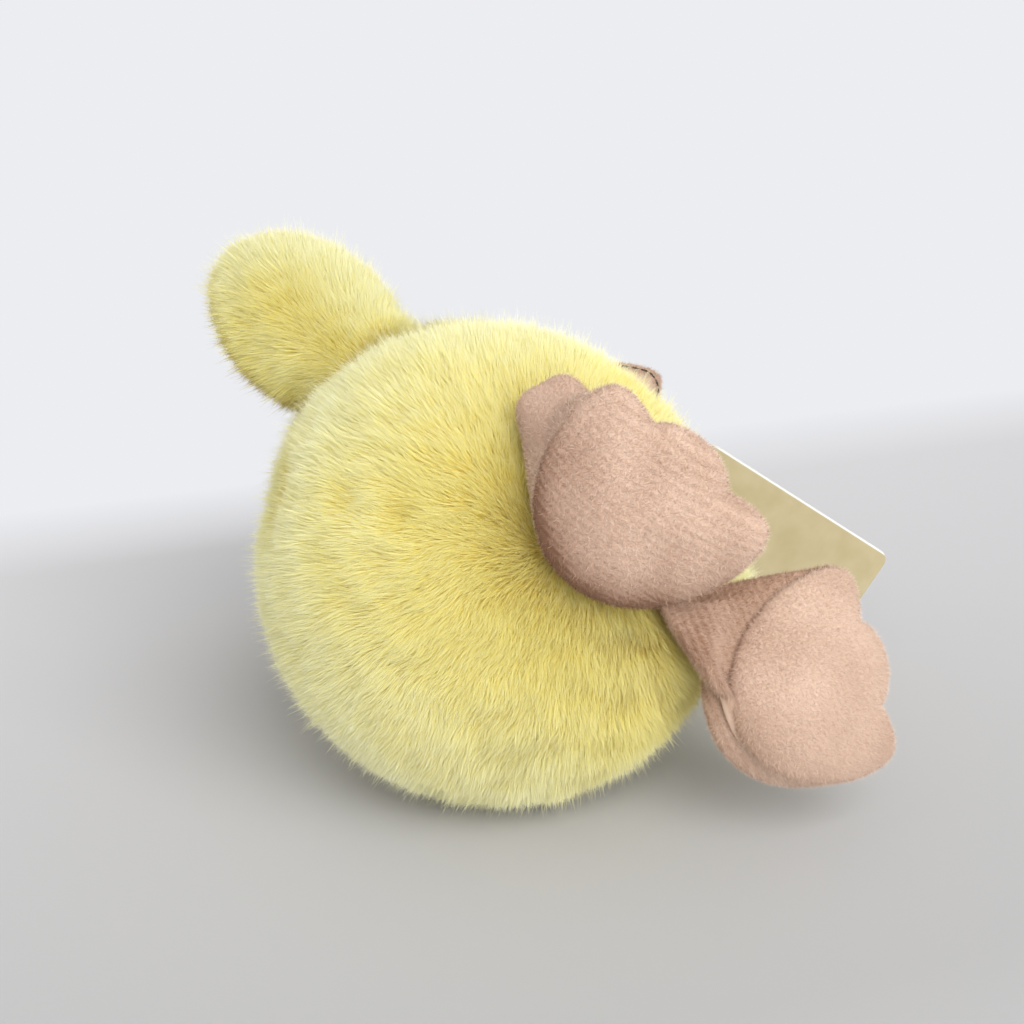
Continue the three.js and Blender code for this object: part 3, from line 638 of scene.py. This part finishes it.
def eye_centre(side):
    """Centre of an eye; side is 1 at the left and -1 at the right."""
    ring = (1 - (2 * EYE_RISE / HEAD[2]) ** SQUARENESS) ** (1 / SQUARENESS)
    ahead = np.array([side * math.sin(EYE_SPREAD), -math.cos(EYE_SPREAD), 0])
    spot = ahead * HEAD * ring / 2
    spot[2] = EYE_RISE
    return spot + HEAD_CENTRE - unit(spot / HEAD ** 2) * EYE_SINK


# Fur of the body, head and wings

def coat(root, rng):
    """Widths and lengths of a mixed coat: fine strands over a wider and shorter undercoat."""
    under = rng.random(len(root)) < UNDERCOAT_SHARE
    width = np.where(under, UNDERCOAT_WIDTH, FINE_WIDTH)
    height = to_world(root)[:, 2] / CAD_HEIGHT
    pressed = LOW_SHARE + (HIGH_SHARE - LOW_SHARE) * height
    length = FUR_LENGTH * pressed * np.where(under, UNDERCOAT_LENGTH, 1)
    length = length * np.where(~under & (rng.random(len(root)) < GUARD_SHARE), GUARD_LENGTH, 1)
    return width, length * rng.uniform(*LENGTH_SPREAD, size=len(root))


def swayed(flow, normal, root, sway, size, seed):
    """A flow that sways to either side from place to place."""
    along = unit(flow)
    return along + np.cross(normal, along) * (sway * ripple(root, size, seed))[:, None]


def mottled(tone, root, rng, size, seed):
    return tone + MOTTLE * ripple(root, size, seed) + rng.normal(scale=TONE_SPREAD, size=len(root))


def grow(root, normal, flow, lift, length, width, tone, rng):
    """A combed and tufted pile that is pressed short under the feet."""
    flow = swayed(flow, normal, root, TUFT_SWAY, TUFT_SIZE, seed=21)
    lift = lift + TUFT_LIFT * ripple(root, TUFT_SIZE, seed=22)
    length = length * (1 + TUFT_LENGTH * ripple(root, TUFT_SIZE, seed=23))
    tip = comb(root, normal, flow, length, lift, rng)
    for side in SIDES:
        pressed = inside_foot(to_world(root), side, FOOT_MARGIN)
        pressed |= inside_foot(to_world(tip), side, FOOT_MARGIN)
        tip[pressed] = root[pressed] + PRESSED_SHARE * (tip[pressed] - root[pressed])
    return Pile(root, tip, normal, tone, width)


def over_floor(points):
    world = to_world(points)
    world[:, 2] = np.maximum(world[:, 2], FLOOR_CLEARANCE)
    return world


def add_fur_piece(name, skin, pile, body, node, rng):
    """One panel of fur fabric: its backing, and the pile that grows from it."""
    points, quads, normals = skin
    used, patch = np.unique(quads, return_inverse=True)
    tones = np.tile(BACKING_TONE, (len(used), 1))
    backing = (over_floor(points[used]), patch.reshape(-1, 4), NO_TRIS, tones, normals[used] @ AXES)
    root, tip = over_floor(pile.root), over_floor(pile.tip)
    standing = Pile(root, tip, pile.normal @ AXES, pile.tone, pile.width)
    piece = make_piece(name, join_sheets([backing, strands(standing, rng)]), FUR)
    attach(piece, body)
    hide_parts(node)


def gore_of(points, rise, slope):
    """0 in a gore that opens from a line along the depth, else 1 at the left and 2 at the right."""
    inside = np.abs(points[:, 0]) < rise * slope
    return np.where(inside, 0, np.where(points[:, 0] > 0, 1, 2))


def add_panels(names, nodes, skin, skin_gore, pile, pile_gore, rng):
    points, quads, normals = skin
    for i, (name, node) in enumerate(zip(names, nodes)):
        panel = (points, quads[skin_gore == i], normals)
        add_fur_piece(name, panel, pile.only(pile_gore == i), "trunk", node, rng)


def add_body_fur():
    rng = np.random.default_rng(11)
    points, quads = ball_sheet(BODY - 2 * ROOT_DEPTH, rows=120, columns=220)
    normals = normals_of(points, quads)
    for place, radius, sink in zip(CREASE, CREASE_WIDTHS, CREASE_SINK):
        points = points - normals * (sink * near(points, place, radius))[:, None]
    root, normal = scatter(points, quads, normals, BODY_STRANDS, rng)
    free = fullness(root - HEAD_CENTRE, HEAD - 2 * ROOT_DEPTH) > 1
    root, normal = root[free], normal[free]
    away = from_line(root, *PARTING)
    distance = np.linalg.norm(away, axis=1)
    flow = swayed(away, normal, root, SWIRL, SWIRL_SIZE, seed=3)
    lost = lost_pile(root)
    lift = FUR_LIFT + PARTING_LIFT * fade(distance, PARTING_WIDTH) - LOST_LIFT * lost
    width, length = coat(root, rng)
    length = length * (1 + UNEVEN * ripple(root, UNEVEN_SIZE, seed=4)) * (1 - LOST_LENGTH * lost)
    # Painted shade: deeper near the parting under the feet, and darker in the crease and dimples, beside
    # the deeper roots that show there
    tone = BODY_TONE + PALER * np.clip(distance / PALE_FROM, 0, 1) ** PALING - LOST_PILE_SHADE * lost
    tone = mottled(tone, root, rng, MOTTLE_SIZE, seed=6)
    pile = grow(root, normal, flow, lift, length, width, tone, rng)
    centres = points[quads].mean(axis=1)
    add_panels(("body_base_fur", "body_left_fur", "body_right_fur"),
               ("body_base_panel", "body_left_panel", "body_right_panel"),
               (points, quads, normals), gore_of(centres, -centres[:, 2], BASE_GORE),
               pile, gore_of(pile.root, -pile.root[:, 2], BASE_GORE), rng)


def add_head_fur():
    rng = np.random.default_rng(12)
    points, quads = ball_sheet(HEAD - 2 * ROOT_DEPTH, rows=100, columns=190)
    normals = normals_of(points, quads)
    points = points + HEAD_CENTRE
    root, normal = scatter(points, quads, normals, HEAD_STRANDS, rng)
    at_beak = 2 * np.hypot(root[:, 0] / BEAK_WIDTH, (root[:, 2] - BEAK_CENTRE[2]) / BEAK_HEIGHT)
    free = (fullness(root, BODY - 2 * ROOT_DEPTH) > 1) & ((at_beak > BEAK_BARE) | (root[:, 1] > 0))
    eyes = [eye_centre(side) for side in (1, -1)]
    for eye in eyes:
        free &= np.linalg.norm(root - eye, axis=1) > EYE_RADIUS + EYE_CLEARANCE
    root, normal = root[free], normal[free]
    flow = swayed(root - BEAK_CENTRE, normal, root, SWIRL, SWIRL_SIZE, seed=8)
    width, length = coat(root, rng)
    length = length * (1 + UNEVEN * ripple(root, UNEVEN_SIZE, seed=9))
    length = length * (1 + LOBE_FLUFF * near(root, LOBE, LOBE_FLUFF_REACH))
    for eye in eyes:
        length = length * (1 - EYE_TRIM * near(root, eye, EYE_TRIM_REACH))
    length = length * (1 - BEAK_TRIM * near(root, BEAK_CENTRE, BEAK_TRIM_REACH))
    tone = HEAD_TONE - LOBE_SHADE * near(root, LOBE, LOBE_SHADE_REACH)
    tone = mottled(tone, root, rng, MOTTLE_SIZE, seed=10)
    pile = grow(root, normal, flow, FUR_LIFT, length, width, tone, rng)
    centres = points[quads].mean(axis=1)
    add_panels(("head_crown_fur", "head_left_fur", "head_right_fur"),
               ("head_crown_gusset", "head_left_panel", "head_right_panel"),
               (points, quads, normals), gore_of(centres, centres[:, 2] - HEAD_CENTRE[2], CROWN_GORE),
               pile, gore_of(pile.root, pile.root[:, 2] - HEAD_CENTRE[2], CROWN_GORE), rng)


def wing_sheet():
    """A flattened paddle along x, from a wide root at the body to a round tip."""
    root, half = WING_ROOT_WIDTH / 2 - WING_DEPTH, WING_WIDTH / 2 - WING_DEPTH
    tip = WING_LENGTH - WING_DEPTH

    def place(row, column):
        inner = WING_ROOT_START + (WING_SWELL - WING_ROOT_START) * row * 2
        outer = WING_SWELL + (tip - WING_SWELL) * np.sin(np.clip(row * 2 - 1, 0, WING_END) * math.pi / 2)
        x = np.where(row < 0.5, inner, outer)
        swelling = root + (half - root) * np.sin(np.clip(x / WING_SWELL, 0, 1) * math.pi / 2)
        rounding = half * np.sqrt(np.clip(1 - ((x - WING_SWELL) / (tip - WING_SWELL)) ** 2, 0, 1))
        closing = np.sqrt(np.clip(row / WING_CLOSING, 0, 1))
        radius = np.where(x < WING_SWELL, swelling, rounding) * closing
        turn = column * 2 * math.pi
        return np.stack([x, radius * np.cos(turn), radius * np.sin(turn) * WING_FLATNESS], axis=1)
    return tube(rows=70, columns=80, place=place)


def add_wing_fur(side, seed):
    rng = np.random.default_rng(seed)
    turn, raised = WING_TURNS[side]
    spin = turn_z(turn) @ turn_y(-raised)
    hinge = to_local(WING_HINGES[side][None])[0]
    points, quads = wing_sheet()
    normals = normals_of(points, quads)
    flat_root, flat_normal = scatter(points, quads, normals, WING_STRANDS, rng)
    root, normal = flat_root @ spin.T + hinge, flat_normal @ spin.T
    away = from_line(flat_root, *WING_PARTING)
    flow = (unit(away) + WING_SWEEP) @ spin.T
    width, length = coat(root, rng)
    parted = fade(np.hypot(away[:, 0], away[:, 1]), WING_PARTING_WIDTH)
    shaded = np.clip(-(normal @ AXES) @ WING_LIT, 0, 1)
    tone = WING_TONE - WING_PARTED * parted - WING_SHADED * shaded
    tone = mottled(tone, flat_root, rng, WING_MOTTLE_SIZE, seed=seed + 2)
    pile = grow(root, normal, flow, FUR_LIFT, length, width, tone, rng)
    if side == "left":  # the card lies on this wing
        pile.tip[:, 2] = np.minimum(pile.tip[:, 2], TAG_LEVEL - CARD_CLEARANCE)
    upper = ((pile.root - hinge) @ spin)[:, 2] > 0
    upper_skin = points[quads].mean(axis=1)[:, 2] > 0
    placed, turned = points @ spin.T + hinge, normals @ spin.T
    for name, grown, faces in (("upper", upper, upper_skin), ("under", ~upper, ~upper_skin)):
        add_fur_piece(f"{side}_wing_{name}_fur", (placed, quads[faces], turned), pile.only(grown),
                      f"{side}_wing", f"{side}_wing_{name}_panel", rng)


# Velour of the feet and beak

def nap(points, quads, normals, flow, tone_of, rng):
    """The short brushed nap of a velour sheet, in the sheet's own frame."""
    count = int(area_of(points, quads) * NAP_DENSITY)
    root, normal = scatter(points, quads, normals, count, rng)
    length = NAP_LENGTH * rng.uniform(*NAP_SPREAD, size=count)
    tone = tone_of(root) + rng.normal(scale=NAP_TONE_SPREAD, size=count)
    way = flow + rng.normal(size=(count, 3))
    tip = comb(root, normal, way, length, NAP_LIFT, rng)
    return strands(Pile(root, tip, normal, tone, np.full(count, NAP_WIDTH)), rng)


def velour_piece(name, sheets, flow, tone_of, place, body, node, rng):
    """A velour panel from sheets in their own frame; place takes points to the world."""
    made = []
    for points, quads in sheets:
        normals = normals_of(points, quads)
        tones = np.stack([tone_of(points), np.full(len(points), NAP_BACKING)], axis=1)
        made.append((points, quads, NO_TRIS, tones, normals))
        made.append(nap(points, quads, normals, flow, tone_of, rng))
    points, quads, tris, tones, normals = join_sheets(made)
    turned = place(normals) - place(np.zeros((1, 3)))
    piece = make_piece(name, (place(points), quads, tris, tones, turned), VELOUR)
    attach(piece, body)
    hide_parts(node)


def add_foot(side, seed):
    rng = np.random.default_rng(seed)
    body = f"{side}_foot"

    def place(points):
        return foot_to_world(points, side)

    def tone_of(points, ribs, heel_shade):
        """Ribs of the knit across the foot, darker where it turns in at the heel."""
        way = points[:, 1] + RIB_SLANT * points[:, 0] + RIB_CLIMB * points[:, 2]
        rib = np.sin(way * 2 * math.pi / RIB_PITCH)
        plan = np.stack([points[:, 0], -points[:, 1]], axis=1) - MIDDLE
        turned_in = np.clip(np.linalg.norm(plan, axis=1) / rim_radius(plan), 0, 1) ** TURNED_IN
        heel = np.clip(1 + points[:, 1] / HEEL_REACH, 0, 1)
        tone = FOOT_TONE + ribs * rib + MOTTLE * ripple(points, FOOT_MOTTLE_SIZE, seed)
        return tone - heel_shade * heel * turned_in + SEAM_GLINT * fade(points[:, 2], SEAM_WIDTH)

    def sole_tone(points):
        return tone_of(points, RIBS[side], HEEL_SHADE[side])

    def leg_tone(points):
        """Shaded on the leg and beside it, and as pale as the sole at the far side of the foot."""
        beside = np.clip(0.5 - points[:, 0] / LEG_SHADE_WIDTH, 0, 1)
        return tone_of(points, LEG_RIBS[side], 0) - LEG_SHADE[side] * beside

    top = [foot_panel(TOP_CROWN, HEEL_BULGE[side]), leg_sleeve(side)]
    sole = [foot_panel(-SOLE_CROWN, 0)]
    for name, sheets, tones in (("top", top, leg_tone), ("sole", sole, sole_tone)):
        velour_piece(f"{body}_{name}_velour", sheets, FOOT_FLOW, tones, place,
                     body, f"{body}_{name}", rng)


def beak_narrowing(share):
    return (1 - share ** BEAK_BLUNTNESS) ** (1 / BEAK_BLUNTNESS)


def beak_half(share, sign):
    """Half of the beak in its own frame: x across, -y forward, z up from the mouth line."""
    def place(row, column):
        narrow = beak_narrowing(np.clip(row * BEAK_TIP, 0, 1)) * share
        turn = column * 2 * math.pi
        level = np.maximum(np.sin(turn), MOUTH_SAG * np.sin(turn))
        x = np.cos(turn) * narrow * BEAK_WIDTH / 2
        y = -row * (BEAK_ROOT + BEAK_REACH) * share
        z = level * narrow * BEAK_HEIGHT / 2 + MOUTH_GAP
        return np.stack([x, y, sign * z], axis=1)
    return tube(rows=28, columns=48, place=place)


def add_beak():
    rng = np.random.default_rng(31)

    def place(points):
        return to_world(points + BEAK_CENTRE)

    def tone_of(points):
        tone = BEAK_TONE + MOTTLE * ripple(points, BEAK_MOTTLE_SIZE, seed=31)
        return tone - MOUTH_SHADE * fade(points[:, 2], MOUTH_WIDTH)

    forward = np.array([0, -1.0, 0])
    for name, share, sign in (("upper", 1.0, 1), ("lower", LOWER_BEAK_SHARE, -1)):
        velour_piece(f"beak_{name}_velour", [beak_half(share, sign)], forward, tone_of, place,
                     "trunk", f"beak_{name}", rng)


def add_stitches():
    """Dark running stitches along the mouth line, from one corner round the tip to the other."""
    reach = np.linspace(*STITCHED, STITCH_STEPS)
    share = np.concatenate([reach, reach[::-1]])
    side = np.repeat([-1, 1], STITCH_STEPS)
    scale = (1 + LOWER_BEAK_SHARE) / 2
    x = side * beak_narrowing(share) * scale * BEAK_WIDTH / 2 + side * STITCH_STAND
    y = -share * (BEAK_ROOT + BEAK_REACH) * scale - STITCH_STAND
    line = np.stack([x, y, np.full(len(share), -STITCH_DROP)], axis=1)
    run = np.concatenate([[0], np.cumsum(np.linalg.norm(np.diff(line, axis=0), axis=1))])
    pitch = run[-1] / (2 * STITCHES)
    sheets = []
    for i in range(2 * STITCHES):
        ends = (i + STITCH_ENDS) * pitch
        start, end = (np.array([np.interp(spot, run, line[:, k]) for k in range(3)]) for spot in ends)
        sheets.append(stitch(start, end))
    points, quads, tris, tones, normals = join_sheets(sheets)
    points = to_world(points + BEAK_CENTRE)
    piece = make_piece("beak_stitches", (points, quads, tris, tones, normals @ AXES), THREAD)
    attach(piece, "trunk")


def stitch(start, end):
    """A plump little stitch of thread between two places."""
    along = unit(end - start)
    across = unit(np.cross(along, np.array([0, 0, 1.0])))
    through = np.cross(along, across)

    def place(row, column):
        turn = column * 2 * math.pi
        radius = (THREAD_RADIUS * np.sqrt(np.clip(1 - (2 * row - 1) ** 2, THREAD_END, 1)))[:, None]
        ring = across * np.cos(turn)[:, None] + through * np.sin(turn)[:, None]
        return start + (end - start) * row[:, None] + ring * radius
    points, quads = tube(rows=9, columns=8, place=place)
    tones = np.full((len(points), 2), THREAD_TONE)
    return points, quads, NO_TRIS, tones, normals_of(points, quads)


# Materials

def new_material(name, roughness):
    made = bpy.data.materials.new(name)
    made.use_nodes = True
    shader = made.node_tree.nodes["Principled BSDF"]
    shader.inputs["Roughness"].default_value = roughness
    return made, made.node_tree, shader


def add_node(tree, kind, values, **settings):
    """Outputs of a new node. A value is a socket to link from, or what its input is set to."""
    made = tree.nodes.new("ShaderNode" + kind)
    for name, setting in settings.items():
        setattr(made, name, setting)
    for name, value in values.items():
        if isinstance(value, bpy.types.NodeSocket):
            tree.links.new(value, made.inputs[name])
        else:
            made.inputs[name].default_value = value
    return made.outputs


def worked_out(tree, operation, *values):
    return add_node(tree, "Math", dict(enumerate(values)), operation=operation)["Value"]


def mixed(tree, factor, first, second):
    return add_node(tree, "Mix", {"Factor": factor, "A": first, "B": second}, data_type="RGBA")["Result"]


def ramp(tree, factor, stops):
    made = tree.nodes.new("ShaderNodeValToRGB")
    while len(made.color_ramp.elements) < len(stops):
        made.color_ramp.elements.new(0.5)
    for element, (place, color) in zip(made.color_ramp.elements, stops):
        element.position = place
        element.color = color
    tree.links.new(factor, made.inputs["Fac"])
    return made.outputs["Color"]


def part_along(tree, places, direction):
    return add_node(tree, "VectorMath", {0: places, 1: direction}, operation="DOT_PRODUCT")["Value"]


def share_along(tree, direction, start, end):
    """0 to 1 between two distances along a direction."""
    along = part_along(tree, add_node(tree, "TexCoord", {})["Object"], direction)
    return add_node(tree, "MapRange", {"Value": along, "From Min": start, "From Max": end})["Result"]


def strand_material(name, shade, dark, light, roughness, sheen):
    """Colour by the mesh's own map: tone picks from a shade and two runs of colour from root to tip."""
    made, tree, shader = new_material(name, roughness)
    uv = add_node(tree, "UVMap", {}, uv_map="OFBake")["UV"]
    split = add_node(tree, "SeparateXYZ", {"Vector": uv})
    tone, way = split["X"], split["Y"]
    runs = mixed(tree, tone, ramp(tree, way, dark), ramp(tree, way, light))
    clear = add_node(tree, "MapRange", {"Value": tone, "From Max": SHADE_TONE})["Result"]
    tree.links.new(mixed(tree, clear, shade, runs), shader.inputs["Base Color"])
    shader.inputs["Sheen Weight"].default_value = sheen
    shader.inputs["Specular IOR Level"].default_value = 0.2
    return made


def noise_material(name, first, second, scale, roughness, bump=0.0):
    """Two colours mottled by noise at a scale in metres, with bump from the same noise."""
    made, tree, shader = new_material(name, roughness)
    places = add_node(tree, "TexCoord", {})["Object"]
    noise = add_node(tree, "TexNoise", {"Vector": places, "Scale": 1 / scale, "Detail": 4})["Fac"]
    tree.links.new(ramp(tree, noise, ((0.35, first), (0.65, second))), shader.inputs["Base Color"])
    if bump:
        values = {"Strength": bump, "Distance": scale / 4, "Height": noise}
        tree.links.new(add_node(tree, "Bump", values)["Normal"], shader.inputs["Normal"])
    return made


def card_material():
    """Cream card faces, darkened with painted shade and yellowed with painted light from the fur,
    slightly mottled, with white cut edges.
    """
    made, tree, shader = new_material("card", 0.6)
    coordinates = add_node(tree, "TexCoord", {})
    values = {"Vector": coordinates["Object"], "Scale": 1 / CARD_MOTTLE_SIZE}
    noise = add_node(tree, "TexNoise", values)["Fac"]
    # the face colours hold painted shade and painted yellow light from the fur
    face = ramp(tree, noise, ((0.3, linear(192, 176, 134)), (0.7, linear(201, 187, 148))))
    flat = worked_out(tree, "ABSOLUTE", part_along(tree, coordinates["Normal"], UP))
    open_edge = float((FOLD + TAG_WIDTH * TAG_ACROSS) @ TAG_ACROSS)
    inner = share_along(tree, TAG_ACROSS, *(open_edge - inset for inset in CUT_EDGE))
    plain = worked_out(tree, "MULTIPLY", flat, inner)
    tree.links.new(mixed(tree, plain, linear(252, 252, 250), face), shader.inputs["Base Color"])
    return made


FUR = strand_material(
    "fur", linear(190, 166, 88),
    ((0.0, linear(238, 192, 40)), (0.5, linear(247, 229, 94)), (1.0, linear(251, 242, 146))),
    ((0.0, linear(248, 228, 104)), (0.5, linear(253, 250, 186)), (1.0, linear(255, 254, 232))),
    roughness=0.8, sheen=0.25)
VELOUR = strand_material(
    "velour", linear(152, 112, 88),
    ((0.0, linear(166, 124, 98)), (1.0, linear(200, 162, 134))),
    ((0.0, linear(234, 204, 182)), (1.0, linear(250, 234, 218))),
    roughness=0.85, sheen=0.1)
FIBRE = noise_material("fibre", linear(236, 233, 224), linear(248, 246, 240), 2 * MM, 0.95, 0.4)
BEANS = noise_material("bean_cloth", linear(206, 198, 182), linear(222, 215, 200), 1 * MM, 0.9, 0.3)
BLACK = noise_material("eye_plastic", linear(14, 12, 11), linear(20, 18, 17), 3 * MM, 0.12)
WASHER = noise_material("washer_plastic", linear(228, 224, 214), linear(236, 232, 224), 2 * MM, 0.45)
NYLON = noise_material("nylon", linear(240, 240, 236), linear(248, 248, 245), 2 * MM, 0.35)
CARD = card_material()
THREAD = noise_material("thread", linear(52, 40, 36), linear(74, 58, 50), 0.6 * MM, 0.8, 0.3)

CAD_MATERIALS = {
    "bean_pouch": BEANS, "fibre_stuffing": FIBRE, "tag_filament": NYLON,
    "tag_cover_leaf": CARD, "tag_back_leaf": CARD,
}
for side in SIDES:
    CAD_MATERIALS[f"{side}_wing_stuffing"] = FIBRE
    CAD_MATERIALS[f"{side}_foot_stuffing"] = FIBRE
    CAD_MATERIALS[f"{side}_eye"] = BLACK
    CAD_MATERIALS[f"{side}_eye_washer"] = WASHER
for node, made in CAD_MATERIALS.items():
    frame["nodes"][node].data.materials.clear()
    frame["nodes"][node].data.materials.append(made)
for side in SIDES:
    eye = frame["nodes"][f"{side}_eye"].data
    eye.polygons.foreach_set("use_smooth", np.ones(len(eye.polygons), bool))


# Assembly

add_body_fur()
add_head_fur()
add_wing_fur("left", seed=41)
add_wing_fur("right", seed=51)
add_foot("left", seed=61)
add_foot("right", seed=71)
add_beak()
add_stitches()


# Studio

FLOOR_END = np.array([-0.155, 0.125])  # a place on the line where the floor ends
ALONG_END = unit(np.array([0.327, 0.132]))
BEHIND = np.array([-ALONG_END[1], ALONG_END[0]])
FLOOR_PALING = (0.27, 0.03)  # painted light: it pales between these distances from its end
FLOOR_FADE = 0.05  # and goes over into the background within this
FLOOR_REACH = 2.0
# painted shade near the camera, going over to painted light toward the floor's end
PAINTED_FLOOR_LIGHT = ((0.0, linear(188, 188, 188)), (0.5, linear(216, 215, 216)), (1.0, linear(236, 235, 236)))
BACKGROUND = linear(236, 237, 241)
WORLD_COLOR, WORLD_STRENGTH = (0.98, 0.985, 1.0, 1), 0.6


def seen_directly(tree):
    """1 for rays of the camera, of mirrors and of glass, which see the background as it is."""
    path = add_node(tree, "LightPath", {})
    seen = path["Is Camera Ray"]
    for ray in ("Is Glossy Ray", "Is Transmission Ray"):
        seen = worked_out(tree, "MAXIMUM", seen, path[ray])
    return seen


def add_floor():
    """A sheet of paper that ends behind the object, aslant to the camera."""
    corners = ((-1, -1), (-1, 1), (0, 1), (0, -1))
    spots = [FLOOR_END + FLOOR_REACH * (BEHIND * depth + ALONG_END * side) for depth, side in corners]
    mesh = bpy.data.meshes.new("floor")
    mesh.from_pydata([(x, y, 0) for x, y in spots], [], [(0, 1, 2, 3)])
    mesh.materials.append(paper())
    floor = bpy.data.objects.new("floor", mesh)
    bpy.context.scene.collection.objects.link(floor)


def paper():
    """Paper painted grey with shade near the camera, paling with painted light away from it, and fading
    into the background at its end.
    """
    made, tree, shader = new_material("paper", 0.9)
    end = float(FLOOR_END @ BEHIND)
    depth = share_along(tree, (*BEHIND, 0), *(end - distance for distance in FLOOR_PALING))
    tree.links.new(ramp(tree, depth, PAINTED_FLOOR_LIGHT), shader.inputs["Base Color"])
    glow = add_node(tree, "Emission", {"Color": BACKGROUND})["Emission"]
    fading = share_along(tree, (*BEHIND, 0), end - FLOOR_FADE, end)
    faded = worked_out(tree, "MULTIPLY", fading, seen_directly(tree))
    both = add_node(tree, "MixShader", {"Fac": faded, 1: shader.outputs["BSDF"], 2: glow})["Shader"]
    tree.links.new(both, tree.nodes["Material Output"].inputs["Surface"])
    return made


def add_world():
    """A soft light from all round, that the camera and mirrors see as the pale background."""
    world = bpy.data.worlds.new("studio")
    world.use_nodes = True
    tree = world.node_tree
    light = tree.nodes["Background"]
    light.inputs["Color"].default_value = WORLD_COLOR
    light.inputs["Strength"].default_value = WORLD_STRENGTH
    pale = add_node(tree, "Background", {"Color": BACKGROUND})["Background"]
    shaders = {"Fac": seen_directly(tree), 1: light.outputs["Background"], 2: pale}
    both = add_node(tree, "MixShader", shaders)["Shader"]
    tree.links.new(both, tree.nodes["World Output"].inputs["Surface"])
    bpy.context.scene.world = world


def add_lamp(name, place, size, watts):
    lamp = bpy.data.lights.new(name, "AREA")
    lamp.energy = watts
    lamp.size = size
    holder = bpy.data.objects.new(name, lamp)
    holder.location = place
    holder.rotation_euler = (Vector(CENTRE) - Vector(place)).to_track_quat("-Z", "Y").to_euler()
    bpy.context.scene.collection.objects.link(holder)


def add_camera():
    camera = bpy.data.cameras.new("camera")
    camera.sensor_width = 36
    camera.lens = camera.sensor_width * FOCAL / PHOTO
    camera.clip_start = 0.01
    holder = bpy.data.objects.new("camera", camera)
    holder.location = CENTRE + CAMERA_FROM_CENTRE
    holder.rotation_euler = (math.pi / 2 - CAMERA_DIP, 0, 0)
    bpy.context.scene.collection.objects.link(holder)
    bpy.context.scene.camera = holder


def add_studio():
    add_floor()
    add_world()
    add_lamp("key", (0.24, -0.47, 0.43), size=0.5, watts=2.7)
    add_lamp("fill", (0.12, -0.62, 0.30), size=0.6, watts=1.1)
    bpy.context.scene.view_settings.view_transform = "Standard"


add_studio()
add_camera()
